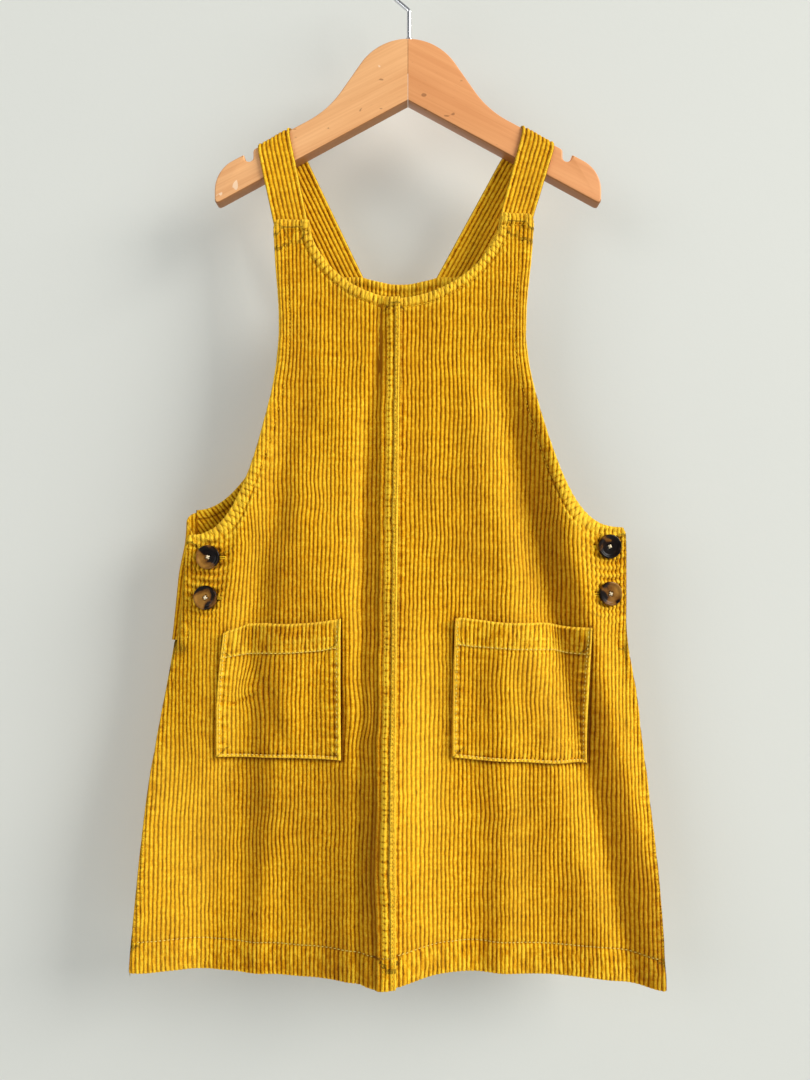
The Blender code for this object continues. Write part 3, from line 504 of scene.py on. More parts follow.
def frontPaths(side):
    sign = signs[side]
    half = cut["bibHalf"][side]
    lapEdge = lapEdges[side]
    z = np.linspace(float(bibTop(np.array(sign * half), side)), cut["armTop"], 200)
    x = np.full(200, sign * half)
    arm = np.stack([x + bowAt(x, z, side), z], axis=1)
    out = half + (cut["armOut"] - half) * np.linspace(0, 1, 300) ** 1.3
    arm = np.concatenate([arm, np.stack([sign * out, sideTop(out, side)], axis=1)[1:]])
    zs = np.linspace(cut["armLow"][side], -0.800, 500)
    fall, reach = softEdge[side]
    outs = np.interp(-zs, np.append(-cut["armLow"][side], fall), np.append(cut["armOut"], reach))
    seam = np.stack([sign * outs, zs], axis=1)
    a = np.linspace(0.0, 1.0, 400)
    xs = cut["neckCentre"] + sign * cut["neckHalf"][side] * np.sin(a * np.pi / 2)
    neck = np.stack([xs, bibTop(xs, side)], axis=1)
    if sign < 0:
        neck = neck[neck[:, 0] <= lapEdge]
    else:
        neck = np.concatenate([[[lapEdge, float(bibTop(np.array(lapEdge), "left"))]], neck])
    reach = abs(cut["neckCentre"] + sign * cut["neckHalf"][side])
    xs = sign * np.linspace(reach, half, 60)
    seat = np.stack([xs, bibTop(xs, side)], axis=1)
    t = np.linspace(0.0, 1.0, 40)
    around = [(0 * t, t), (t, 0 * t + 1.0), (0 * t + 1.0, 1.0 - t)]
    pocket = np.concatenate([np.stack(pocketPlace(side, u, v)[:2], axis=1) for u, v in around])
    return {
        "pocket": evenly(pocket, 0.0008), "arm": evenly(arm, 0.0005), "seam": evenly(seam, 0.0006),
        "neck": evenly(neck, 0.0005), "seat": evenly(seat, 0.0005),
    }


buttonPlaces = ((-0.1520, -0.4672), (-0.1536, -0.4984), (0.1568, -0.4590), (0.1578, -0.4955))
# how far in from its edge each row of stitches runs
stitch = {
    "neck": 0.0075, "arm": 0.0088, "flap": 0.0080, "hem": 0.0238, "seat": 0.0092,
    "lapNear": 0.0022, "lapFar": 0.0092,
}
# what a seam has unless it says otherwise; dark is the painted shade along its stitches
usualSeam = {"share": 1.0, "narrow": 0.0008, "reach": 0.0075, "knots": 1.0, "past": 0.35, "dark": 0.50}
paths = bothSides(frontPaths)


def lapRise(x):
    inner = cut["centre"] - cut["lap"] - 0.0045
    return (cut["wall"] + cut["gap"]) * ease((x - inner) / 0.0040)


def seamSum(seams, wearAndShading):
    # adds up a piece's seams: the height they give, and the values their material reads; each
    # has its distance d and run s, where its row of stitches lies (at), how far the band swells
    # and how deep the row is drawn in; knots are the small puffs between stitches, centred at
    # knotAt; dark is painted shade along the row, and below zero the wear value is painted shade
    off = np.zeros_like(wearAndShading)
    zone, run, far, knot = (np.zeros_like(wearAndShading) for _ in range(4))
    for row in seams:
        seam = {**usualSeam, **row}
        d, s, at, share = (seam[key] for key in ("d", "s", "at", "share"))
        gather = pucker(s, seam["seed"])
        bell = np.sin(np.pi * np.clip(d / at, 0.0, 1.0)) ** 0.8
        off += share * seam["swell"] * bell * (0.5 + 0.5 * gather)
        off += share * groove(d, at, seam["narrow"], seam["drawn"]) * (0.7 + 0.3 * gather)
        off += share * 0.35 * seam["swell"] * hill(d - at - 0.0026, 0.0016) * gather
        here = share * ease((at + seam["reach"] - d) / (seam["reach"] + 0.3 * at))
        run = np.where(here > zone, s + seam["seed"], run)
        far = np.where(here > zone, d, far)
        zone = np.maximum(zone, here)
        middle, half = seam.get("knotAt", 0.53 * at), seam.get("knotHalf", 0.38 * at)
        puffs = hill(d - middle, half, 4) + seam["past"] * hill(d - at - 0.0020, 0.0012)
        knot = np.maximum(knot, share * seam["knots"] * puffs)
        shade = share * seam["dark"] * (0.4 + 0.6 * pucker(s, seam["seed"] + 3))
        wearAndShading = wearAndShading - shade * hill(d - at, 0.00065)
    return off, {
        "wearAt": np.maximum(wearAndShading, -0.85), "zoneAt": zone, "alongAt": run, "farAt": far,
        "knotAt": np.clip(knot, 0.0, 1.2),
    }


swag = {
    "wide": 0.013, "tall": 0.020, "bow": 0.0035, "pitch": 0.0062, "high": 0.00150,
    "sunk": 0.00070, "sunkHalf": 0.0090, "rim": 0.0086,
}


def centreLap(z, dLap, dHem, off, wearAndShading):
    # the lap at the centre seam: its two rows of stitches, its turned edge, painted pale as worn and lit,
    # and the dip past it, painted with shade
    body = ease((dHem - 0.021) / 0.005) * (0.65 + 0.35 * cloud(z / 0.021, z * 0.0, 57))
    dip = 0.6 + 0.4 * cloud(z / 0.045, z * 0.0, 59)
    both = dict(d=dLap, s=z, reach=0.006, past=0.0, share=ease((dHem - 0.002) / 0.005))
    rows = [
        dict(both, at=0.0052, swell=0.0007, drawn=0.0007, seed=45, knotAt=0.0033, knotHalf=0.0014,
            knots=1.1 * body, dark=0.15, narrow=0.0010),
        dict(both, at=stitch["lapFar"] + 0.0006, swell=0.0005, drawn=0.0012, seed=47, knotAt=0.0080,
            knotHalf=0.0015, knots=1.2 * body, dark=0.30, narrow=0.0014),
    ]
    off = off - rolled(dLap, 0.0010)
    off += 0.0009 * hill(dLap - 0.0010, 0.0011)
    off -= 0.0019 * hill(dLap - 0.0150, 0.0050) * dip
    # the turned edge: partly wear, partly a painted highlight
    wearAndShading = wearAndShading + 2.6 * hill(dLap, 0.0014, 4)
    wearAndShading += 0.25 * body * (hill(dLap - 0.0033, 0.0015) + hill(dLap - 0.0080, 0.0016))
    # painted shade in the dip past the lap
    wearAndShading -= 0.46 * hill(dLap - 0.0145, 0.0046) * dip
    return rows, off, wearAndShading


def buttonSwags(x, z, side, off, wearAndShading, zone):
    # swags drawn between and beside the buttons, their crests painted paler as lit, and a painted shadow in
    # a ring round each button
    for bx, bz in buttonPlaces:
        if bx * signs[side] < 0:
            continue
        near = spot(x, z, bx, bz, swag["wide"], swag["tall"])
        sag = swag["bow"] * ((x - bx) / swag["wide"]) ** 2
        ripple = 1.2 * cloud(x / 0.012, z / 0.012, 61)
        bars = np.sin((z - sag - bz) * 2 * np.pi / swag["pitch"] + ripple)
        off += swag["high"] * near * bars
        off -= swag["sunk"] * hill(np.hypot(x - bx, z - bz), swag["sunkHalf"], 4)
        zone = np.maximum(zone, 0.8 * near)
        # painted highlight on the crests of the swags
        wearAndShading += 0.5 * near * np.clip(bars, -0.5, 1.0)
        # painted shadow in a ring round the button
        wearAndShading -= 0.8 * hill(np.hypot(x - bx + 0.0006, z - bz + 0.0008) - swag["rim"], 0.0012)
    return off, wearAndShading, zone


def frontDetail(x, z, side):
    # what the sewing does to the front: turned edges, puffed bands, stitch furrows, puckers, and the
    # painted light and shade that go with them
    (dArm, sArm), (dSeam, sSeam), (dNeck, sNeck), (dSeat, sSeat), (dPocket, sPocket) = (
        nearPath(x, z, paths[side][key]) for key in ("arm", "seam", "neck", "seat", "pocket")
    )
    dHem = z - hemZ(x)
    dLap = np.abs(x - lapEdges[side])
    flap = ease((z + 0.541) / 0.006)  # 1 on the buttoned flap, 0 on the sewn side seam
    seams = [
        dict(d=dNeck, s=sNeck, at=stitch["neck"], swell=0.0012, drawn=0.0011, seed=11),
        dict(d=dArm, s=sArm, at=stitch["arm"], swell=0.0012, drawn=0.0010, seed=17, reach=0.0105,
            share=0.55 + 0.45 * ease((-0.36 - z) / 0.06), knots=ease((-0.37 - z) / 0.05), past=0.7,
            dark=0.55),
        dict(d=dSeam, s=sSeam, at=stitch["flap"], swell=0.0006, drawn=0.0005, seed=23, share=flap,
            knots=0.0, dark=0.35),
        dict(d=dSeam, s=sSeam, at=0.0045, swell=0.0004, drawn=0.0005, seed=25, share=(1 - flap) * 0.7,
            knots=0.0, dark=0.3),
        dict(d=dSeat, s=sSeat, at=stitch["seat"], swell=0.0020, drawn=0.0011, seed=29, reach=0.003,
            knots=0.0, dark=0.45),
        dict(d=dSeat, s=sSeat, at=0.0182, swell=0.0005, drawn=0.0007, seed=31, reach=0.003, knots=0.0,
            dark=0.25),
        dict(d=dHem, s=x, at=stitch["hem"], swell=0.0007, drawn=0.0012, seed=37, reach=0.004,
            narrow=0.0008, knots=0.0, dark=0.6),
    ]
    # pale at the edges and over the puffed bands: partly wear, partly a painted highlight on the raised
    # bands
    wearAndShading = 1.0 * hill(dArm, 0.0015) + 1.1 * hill(dNeck, 0.0016) + 0.8 * hill(dSeat, 0.0015)
    wearAndShading += 0.8 * hill(dSeam, 0.0014) * (0.25 + 0.75 * flap) + 0.7 * hill(dHem, 0.0013)
    wearAndShading += (
        0.42 * ease((0.0082 - dSeat) / 0.0016) + 0.20 * ease((0.0066 - dNeck) / 0.0014)
        + 0.16 * ease((0.0070 - dArm) / 0.0014)
    )
    # random tone, and the painted light and shade of the folds
    wearAndShading += 0.12 * cloud(x / 0.030 + z / 0.110, z / 0.080, 71) + foldShading(x, z)
    off = -sum(rolled(d) for d in (dArm, dNeck, dSeat, dHem, dSeam))
    if side == "left":
        rows, off, wearAndShading = centreLap(z, dLap, dHem, off, wearAndShading)
        seams += rows
    else:
        # a painted shadow where the right front runs in under the lap
        beside = np.maximum(dLap - cut["lap"], 0.0)
        seams.append(dict(d=beside, s=z, at=0.0012, swell=0.0002, drawn=0.0006, seed=53, reach=0.006,
            share=0.8, knots=0.0, dark=0.9))
    more, values = seamSum(seams, wearAndShading)
    off += more
    wearAndShading, zone, run, far = (values[key] for key in ("wearAt", "zoneAt", "alongAt", "farAt"))
    # the cloth is drawn in round a sewn pocket, and is in its shade at the edge
    off -= 0.0008 * hill(dPocket, 0.0034)
    wearAndShading -= 1.3 * hill(dPocket, 0.0014)
    beside = 0.55 * ease((0.011 - dPocket) / 0.008)
    run, far = np.where(beside > zone, sPocket, run), np.where(beside > zone, dPocket, far)
    zone = np.maximum(zone, beside)
    off, wearAndShading, zone = buttonSwags(x, z, side, off, wearAndShading, zone)
    values.update(wearAt=wearAndShading, zoneAt=zone, alongAt=run, farAt=far)
    return off, values


def meshFrom(name, points, faces, **values):
    # points and faces into a mesh, its faces turned outwards, its values kept as attributes
    mesh = bpy.data.meshes.new(name)
    mesh.from_pydata(np.asarray(points).tolist(), [], faces)
    mesh.update()
    bm = bmesh.new()
    bm.from_mesh(mesh)
    bmesh.ops.recalc_face_normals(bm, faces=bm.faces)
    if bm.calc_volume(signed=True) < 0:
        bmesh.ops.reverse_faces(bm, faces=bm.faces)
    bm.to_mesh(mesh)
    bm.free()
    for key, value in values.items():
        layer = mesh.attributes.new(key, "FLOAT", "POINT")
        layer.data.foreach_set("value", np.asarray(value, np.float32).ravel())
    mesh.shade_smooth()
    obj = bpy.data.objects.new(name, mesh)
    bpy.context.scene.collection.objects.link(obj)
    return obj


def quads(index):
    # four-cornered faces between neighbouring rows and columns of an index table, -1 for none
    a, b, c, d = index[:-1, :-1], index[:-1, 1:], index[1:, 1:], index[1:, :-1]
    ring = np.stack([a, b, c, d], axis=-1).reshape(-1, 4)
    return ring[(ring >= 0).all(axis=1)]


def closedRings(ring):
    # the index table with its first column again at the end
    return np.concatenate([ring, ring[:, :1]], axis=1)


def shellFrom(name, outer, inner, present, sparse, rimRows, rimColumns, **values):
    # outer and inner are tables of points; the outer face uses every row, the inner one the
    # rows named in sparse; rimRows (row, first column, last column) and rimColumns (column,
    # first row, last row) are the borders that are closed
    index = np.full(present.shape, -1)
    index[present] = np.arange(present.sum())
    kept = np.zeros(len(present), bool)
    kept[sparse] = True
    below = present & kept[:, None]
    under = np.full(present.shape, -1)
    under[below] = np.arange(below.sum()) + present.sum()
    faces = quads(index).tolist() + quads(under[sparse])[:, ::-1].tolist()
    for row, first, last in rimRows:
        a, b = index[row, first:last], index[row, first + 1 : last + 1]
        c, d = under[row, first + 1 : last + 1], under[row, first:last]
        faces += np.stack([a, b, c, d], axis=1).tolist()
    for column, first, last in rimColumns:
        steps = [r for r in sparse if first <= r <= last]
        for low, high in zip(steps[:-1], steps[1:]):
            ring = index[low : high + 1, column].tolist()
            faces.append(ring + [int(under[high, column]), int(under[low, column])])
    points = np.concatenate([outer[present], inner[below]])
    both = {}
    for key, value in values.items():
        value = np.broadcast_to(value, present.shape)
        both[key] = np.concatenate([value[present], value[below]])
    both["faceAt"] = np.concatenate([np.ones(present.sum()), np.zeros(below.sum())])
    return meshFrom(name, points, faces, **both)


def fullShell(name, outer, inner, sparse, **values):
    # a shell that uses its whole grid and is closed all round
    rows, columns = outer.shape[:2]
    present = np.ones((rows, columns), bool)
    rimRows = ((0, 0, columns - 1), (rows - 1, 0, columns - 1))
    rimColumns = ((0, 0, rows - 1), (columns - 1, 0, rows - 1))
    return shellFrom(name, outer, inner, present, sparse, rimRows, rimColumns, **values)


def heights(top, low, topSteps, lowSteps, count, power=1.0):
    # rows of levels: fixed small steps by the top edge and the hem, and between them steps
    # that are even, or with a power over 1 closer at the top
    squeeze = np.minimum(1.0, (top - low) / 0.075)[None, :]
    first = top[None, :] - np.array(topSteps)[:, None] * squeeze
    last = low[None, :] + np.array(lowSteps)[::-1, None] * squeeze if len(lowSteps) else low[None, :]
    t = np.linspace(0.0, 1.0, count + 2)[1:-1, None] ** power
    return np.concatenate([first, first[-1:] * (1 - t) + last[:1] * t, last])


topSteps = (
    0.0, 0.0003, 0.0008, 0.0015, 0.0025, 0.0037, 0.0050,
    0.0062, 0.0072, 0.0082, 0.0092, 0.0104, 0.0120, 0.0140,
)
lowSteps = (
    0.0, 0.0003, 0.0009, 0.0018, 0.0050, 0.0090, 0.0130,
    0.0170, 0.0205, 0.0225, 0.0238, 0.0251, 0.0270, 0.0300,
)
frontPhases = np.array((0.0, 0.13, 0.37, 0.63, 0.87))
backPhases = np.array((0.0, 0.17, 0.50, 0.83))


def waleColumns(length, pitch, phases):
    # columns that follow the ribs: a few fixed places across every rib
    count = int(math.ceil(length / pitch))
    t = (np.arange(count)[:, None] + phases[None, :]).ravel() * pitch
    return np.append(t[t < length - 0.00008], length)


def crestColumns(length, pitch):
    # the same, but with a rib top instead of a furrow at both ends
    columns = pitch / 2 + waleColumns(length - pitch / 2, pitch, frontPhases)
    return np.concatenate([[0.0, 0.00045, 0.0010], columns])


def ribbed(z, wale, seed):
    # furrow depth below the rib tops, uneven along each rib as worn pile is
    worn = 1.0 + 0.22 * cloud(np.round(wale - 0.5), z / 0.0065, seed)
    return -(1.0 - ribShape(wale)) * rib["deep"] - 0.00012 * (worn - 1.0) * ribShape(wale) * 2.0


def wobble(x, z, seed):
    # the ribs don't run quite straight
    return 0.00046 * cloud(x / 0.017, z / 0.024, seed) + 0.00024 * cloud(x / 0.0075, z / 0.0085, seed + 2)


def frontPanel(side):
    sign = signs[side]
    half = cut["bibHalf"][side]
    lapEdge = lapEdges[side]
    tBib = sign * (sign * half - lapEdge)
    pitch = tBib / round(tBib / rib["pitch"])
    tEnd = sign * (sign * cornerOut(side) - lapEdge)
    bib = crestColumns(tBib, pitch)
    beyond = tBib + crestColumns(tEnd - tBib, pitch)[3:]
    t = np.concatenate([bib, beyond])
    x = lapEdge + sign * t
    edge = len(bib) - 1
    high = np.where(np.arange(len(t)) <= edge, cut["armTop"], sideTop(np.abs(x), side))
    top = np.where(np.arange(len(t)) <= edge, bibTop(x, side), high)
    upper = heights(top, np.full(len(t), cut["armTop"]), topSteps, (), 46)[:-1]
    lower = heights(high, hemZ(x), topSteps, lowSteps, 186, 1.28)
    z = np.concatenate([upper, lower])
    rows, split = len(z), len(upper)
    present = np.ones(z.shape, bool)
    present[:split, edge + 1 :] = False
    z[:split, edge + 1 :] = high[edge + 1 :]
    xx = np.repeat(x[None, :], rows, axis=0)
    inBib = (np.arange(len(t)) <= edge)[None, :] & (np.arange(rows) < split)[:, None]
    xx = xx + np.where(inBib, bowAt(xx, z, side), 0.0)
    off, values = frontDetail(xx, z, side)
    wale = np.repeat((t / pitch + 0.5)[None, :], rows, axis=0)
    edges = [nearPath(xx, z, paths[side][key])[0] for key in ("arm", "seam", "neck", "seat")]
    inside = ease(np.minimum.reduce(edges) / 0.004)
    inside = inside * ease((z - hemZ(xx)) / 0.004) * ease(np.abs(xx - lapEdge) / 0.004)
    shifted = xx + (wobble(xx, z, 5) + bent(xx, z, frontBends)) * inside
    base, normal = onSurface(shifted, z, frontY, -1.0)
    if sign < 0:
        base = base + normal * lapRise(xx)[..., None]
    outer = base + normal * (off + ribbed(z, wale, 9))[..., None]
    inner = base - normal * cut["wall"]
    sparse = sorted(set(range(0, rows, 11)) | {split, rows - 1})
    last = len(t) - 1
    return shellFrom(
        "front" + side.capitalize(), outer, inner, present, sparse,
        ((0, 0, edge), (split, edge, last), (rows - 1, 0, last)),
        ((0, 0, rows - 1), (edge, 0, split), (last, split, rows - 1)),
        waleAt=wale, runAt=z, **values,
    )


fronts = bothSides(frontPanel)
print("fronts made", [len(o.data.polygons) for o in fronts.values()])


def backDetail(x, z):
    slope = np.abs((backTop(x + 0.0005) - backTop(x - 0.0005)) / 0.001)
    dTop = (backTop(x) - z) / np.sqrt(1.0 + np.minimum(slope, 12.0) ** 2)
    dHem = z - hemZ(x)
    off = -rolled(dTop) - rolled(dHem)
    wearAndShading = 0.85 * hill(dTop, 0.0014) + 0.6 * hill(dHem, 0.0014)
    above = ease((z + 0.536) / 0.004)  # the sewn side seams below the buttons have no band
    more, values = seamSum([
        dict(d=dTop, s=x * 1.6 + z, at=0.0085, swell=0.0010, drawn=0.0007, seed=71, share=above),
        dict(d=dTop, s=z, at=0.0045, swell=0.0004, drawn=0.0005, seed=75, share=(1 - above) * 0.7),
        dict(d=dHem, s=x, at=stitch["hem"], swell=0.0007, drawn=0.0009, seed=73, reach=0.006,
            narrow=0.0010),
    ], wearAndShading)
    return off + more, values


def backPanel():
    outLeft = float(edgeOut(cut["hem"] - 0.0080 + cut["cornerLift"], "backLeft"))
    outRight = cornerOut("right")
    arm = cut["backArmOut"]
    beside = np.array((0.0, 0.0007, 0.0008))
    fixed = np.concatenate([[-outLeft], -arm - beside[::-1], arm + beside, [outRight]])
    columns = waleColumns(0.25, rib["pitch"], backPhases)
    x = np.concatenate([cut["centre"] - columns[1:], cut["centre"] + columns])
    x = x[(x > -outLeft) & (x < outRight)]
    near = np.min(np.abs(x[:, None] - fixed[None, :]), axis=1)
    x = np.sort(np.concatenate([x[near > 0.00025], fixed]))
    z = heights(backTop(x), hemZ(x), topSteps, lowSteps, 112)
    rows = len(z)
    xx = np.repeat(x[None, :], rows, axis=0)
    off, values = backDetail(xx, z)
    wale = (xx - cut["centre"]) / rib["pitch"]
    base, normal = onSurface(xx, z, backY, 1.0)
    outer = base + normal * (off + ribbed(z, wale, 13))[..., None]
    inner = base - normal * cut["wall"]
    sparse = sorted(set(range(0, rows, 6)) | {rows - 1})
    return fullShell("backPanel", outer, inner, sparse, waleAt=wale, runAt=z, **values)


back = backPanel()
edges = np.empty(len(back.data.vertices) * 3)
back.data.vertices.foreach_get("co", edges)
faced = np.empty(len(back.data.vertices), np.float32)
back.data.attributes["faceAt"].data.foreach_get("value", faced)
# beside the flaps the back's turned edge shows its ribs
faced = np.maximum(faced, np.abs(edges[0::3] + cut["lean"]) > 0.150).astype(np.float32)
back.data.attributes["faceAt"].data.foreach_set("value", faced)
print("back made", len(back.data.polygons))


def sheetPiece(name, base, normal, offOut, offIn, wale, run, values):
    # a small sheet: both faces of one grid, closed all round
    outer = base + normal * offOut[..., None]
    inner = base - normal * (cut["wall"] + offIn)[..., None]
    return fullShell(name, outer, inner, list(range(len(base))), waleAt=wale, runAt=run, **values)


def pocketDetail(side, u, v, x, z):
    wide, tall = pocketSize(side)
    dSide = np.minimum(u, 1 - u) * wide
    dTop, dFoot = v * tall, (1 - v) * tall
    edge = np.minimum(dSide, dFoot)
    seed = 83 if side == "left" else 89
    alongEdge = np.where(dSide < dFoot, z + (u > 0.5) * 2.0, x)
    off = -rolled(dTop, 0.0012) - rolled(edge, 0.0012)
    off += 0.0010 * hill(edge - 0.0012, 0.0010) + 0.0006 * hill(dTop - 0.0012, 0.0010)
    wearAndShading = 1.7 * hill(edge - 0.0006, 0.0014) + 1.3 * hill(dTop - 0.0004, 0.0012)
    wearAndShading += 0.9 * hill(np.hypot(dSide - 0.003, dTop - 0.004), 0.0035)
    rows = [(a * wide, b * tall, *rest) for a, b, *rest in pockets[side + "Creases"]]
    off += creased(u * wide, dTop, rows)
    dent = creased(u * wide, dTop, [(*row[:5], 1.0) for row in rows[:2]])
    # painted shade in the left pocket's dent crease
    wearAndShading -= 0.35 * dent if side == "left" else 0.0
    side1 = hill(np.maximum(dSide - 0.003, 0.0), 0.0055) * ease((dTop - 0.024) / 0.01)
    bars = np.sin(z * 2 * np.pi / 0.0066 + 2.5 * cloud(x / 0.020, z / 0.016, seed + 9))
    off += 0.00050 * side1 * bars
    # painted highlight on the crests of the side bars, and the painted light and shade of the folds
    wearAndShading += 0.35 * side1 * np.clip(bars, -0.5, 1.0) + foldShading(x, z)
    more, values = seamSum([
        dict(d=edge, s=alongEdge, at=pockets["edge"] + 0.0006, swell=0.0002, drawn=0.0009, seed=seed,
            reach=0.0085, narrow=0.0006, knots=0.0, dark=0.55),
        dict(d=dTop, s=x, at=pockets["band"] + 0.0012, swell=0.0006, drawn=0.0010, seed=seed + 4,
            reach=0.004, narrow=0.0008, knotAt=pockets["band"] - 0.0004, knotHalf=0.0012, knots=1.0,
            past=0.0),
        dict(d=dTop, s=x, at=pockets["bandSecond"] + 0.0012, swell=0.0001, drawn=0.0004, seed=seed + 6,
            reach=0.002, narrow=0.0012, knotAt=pockets["bandSecond"], knotHalf=0.0011,
            share=0.5 * ease((u - 0.35) / 0.2)),
    ], wearAndShading)
    return off + more, values


def pocketPiece(side):
    wide, tall = pocketSize(side)
    ribs = pockets[side]["ribs"]
    pitch = wide / ribs
    u = crestColumns(wide, pitch)
    byEdge = [0.0022, wide - 0.0022, wide - 0.0015, wide - 0.0009, wide - 0.0004, wide]
    u = np.unique(np.concatenate([u[u < wide - 0.0022], byEdge])) / wide
    near = np.array((0.0, 0.0004, 0.0009, 0.0014, 0.0019, 0.0025, 0.0031, 0.0042))
    v = np.unique(np.concatenate([near, tall - near, np.linspace(0.0052, tall - 0.0052, 88)])) / tall
    uu, vv = np.meshgrid(u, v)
    # ribs stray sideways inside the pocket, most beside its crease
    free = np.sin(np.pi * uu) * np.sin(np.pi * vv)
    stray = 0.016 * cloud(uu * 2.6, vv * 2.2, 113 if side == "left" else 114) * free
    stray = stray + 0.006 * cloud(uu * 7.0, vv * 7.0, 117) * free
    if side == "left":
        stray = stray - 0.046 * spot(uu, vv, 0.30, 0.47, 0.12, 0.15) * ease(free / 0.25)
    x, z, stand = pocketPlace(side, uu + stray * 0.9, vv)
    off, values = pocketDetail(side, uu + stray * 0.9, vv, x, z)
    base, normal = onSurface(x, z, frontY, -1.0)
    base = base + normal * stand[..., None]
    wale = uu * ribs + 0.5
    off = off + ribbed(z, wale, 19)
    return sheetPiece("pocket" + side.capitalize(), base, normal, off, 0 * off, wale, z, values)


pocketPieces = bothSides(pocketPiece)
print("pockets made")


straps = {
    "left": {
        "outX": (-0.1015, -0.1045, -0.1165, -0.1140, -0.1029, -0.0698, -0.0588, -0.0527),
        "outZ": (-0.2200, -0.2077, -0.1520, -0.1506, -0.1644, -0.2333, -0.2562, -0.2688),
        "inX": (-0.0755, -0.0782, -0.0920, -0.0885, -0.0795, -0.0464, -0.0354, -0.0293),
        "inZ": (-0.2180, -0.2046, -0.1389, -0.1371, -0.1531, -0.2220, -0.2449, -0.2575),
    },
    "right": {
        "outX": (0.0945, 0.0979, 0.1135, 0.1110, 0.0961, 0.0585, 0.0460, 0.0400),
        "outZ": (-0.2150, -0.2015, -0.1504, -0.1490, -0.1656, -0.2338, -0.2566, -0.2680),
        "inX": (0.0690, 0.0724, 0.0888, 0.0860, 0.0733, 0.0357, 0.0232, 0.0170),
        "inZ": (-0.2130, -0.1984, -0.1372, -0.1357, -0.1531, -0.2214, -0.2441, -0.2560),
    },
    "y": (-0.0072, -0.0072, -0.0074, 0.0074, 0.0076, 0.0101, 0.0101, 0.0101),
    "wide": 0.0265, "rise": 0.0014, "turnRadius": 0.0022, "ribs": 8, "step": 0.0016, "stitch": 0.0026,
    # creases: share across, metres along, turn, length, half width, height
    "leftCreases": ((0.45, 0.040, 8.0, 0.016, 0.0014, -0.0009), (0.5, 0.044, 5.0, 0.018, 0.0020, 0.0004),
        (0.5, 0.150, -6.0, 0.02, 0.0018, -0.0005)),
    "rightCreases": ((0.4, 0.052, -6.0, 0.016, 0.0015, -0.0006), (0.5, 0.130, 5.0, 0.02, 0.0018, -0.0005)),
}


def strapEdge(table, key):
    # front run, quarter turns over the hanger with a flat top, rear run
    points = np.stack([table[key + "X"], straps["y"], table[key + "Z"]], axis=1)
    a = np.radians(np.linspace(0.0, 90.0, 10))
    r = straps["turnRadius"]
    rise = straps["rise"] + 2.0 * r * np.sin(a)
    front = points[2] + np.stack([0 * a, r * (1 - np.cos(a)), rise], axis=1)
    rear = points[3] + np.stack([0 * a, -r * (1 - np.cos(a)), rise], axis=1)[::-1]
    return np.concatenate([points[:3], front, rear, points[3:]])


def strapGrid(side):
    edges = [strapEdge(straps[side], key) for key in ("out", "in")]
    middle = (edges[0] + edges[1]) / 2
    length = summed(np.linalg.norm(np.diff(middle, axis=0), axis=1))
    at = np.linspace(0.0, length[-1], int(length[-1] / straps["step"]))
    lines = [np.stack([np.interp(at, length, e[:, k]) for k in range(3)], axis=1) for e in edges]
    soft = np.array((1, 2, 3, 2, 1), float) / 9.0
    rounded = []
    for line in lines:
        padded = np.concatenate([line[:1] * 2 - line[2:0:-1], line, line[-1:] * 2 - line[-2:-4:-1]])
        rounded.append(np.stack([np.convolve(padded[:, k], soft, "valid") for k in range(3)], axis=1))
    return rounded, at


def ribbedTwice(piece):
    # shows its ribs on both faces
    values = np.ones(len(piece.data.vertices), np.float32)
    piece.data.attributes["faceAt"].data.foreach_set("value", values)
    return piece


def strapPiece(side):
    lines, at = strapGrid(side)
    wide = straps["wide"]
    ribs = straps["ribs"]
    columns = (np.arange(ribs)[:, None] + np.linspace(0, 1, 7)[None, :-1]).ravel() / ribs
    u = np.unique(np.concatenate([columns, [0.012, 0.03, 0.97, 0.988, 1.0]]))
    mid = lines[0][:, None, :] * (1 - u)[None, :, None] + lines[1][:, None, :] * u[None, :, None]
    normal = unit(np.cross(np.gradient(mid, axis=0), np.gradient(mid, axis=1)))
    if normal[2, 0, 1] > 0:
        normal = -normal  # out of the front run, up over the hanger, out of the rear run
    uu, run = np.meshgrid(u, at)
    d = np.minimum(uu, 1 - uu) * wide
    end = np.minimum(run, at[-1] - run)
    off = -rolled(d, 0.0009) - rolled(end, 0.0009)
    wearAndShading = 0.10 + 1.0 * hill(d, 0.0017)
    more, values = seamSum([
        dict(d=d, s=run + (1.0 if side == "left" else 2.0) + (uu > 0.5) * 3.0, at=straps["stitch"],
            swell=0.0005, drawn=0.0006, seed=103, reach=0.0040, narrow=0.0006, knots=0.0, dark=0.4),
    ], wearAndShading)
    off += more
    rows = [(a * wide, *rest) for a, *rest in straps[side + "Creases"]]
    dent = creased(uu * wide, run, rows) + 0.00025 * cloud(uu * 3, run / 0.012, 107)
    wale = uu * ribs
    off = off - (1 - ribShape(wale)) * 0.00060
    base = mid + normal * (cut["wall"] / 2) + normal * dent[..., None]
    piece = sheetPiece("strap" + side.capitalize(), base, normal, off, off, wale, run, values)
    return ribbedTwice(piece)


strapPieces = bothSides(strapPiece)
print("straps made")


def insideBack(x, z):
    return backY(x, z) - cut["wall"]


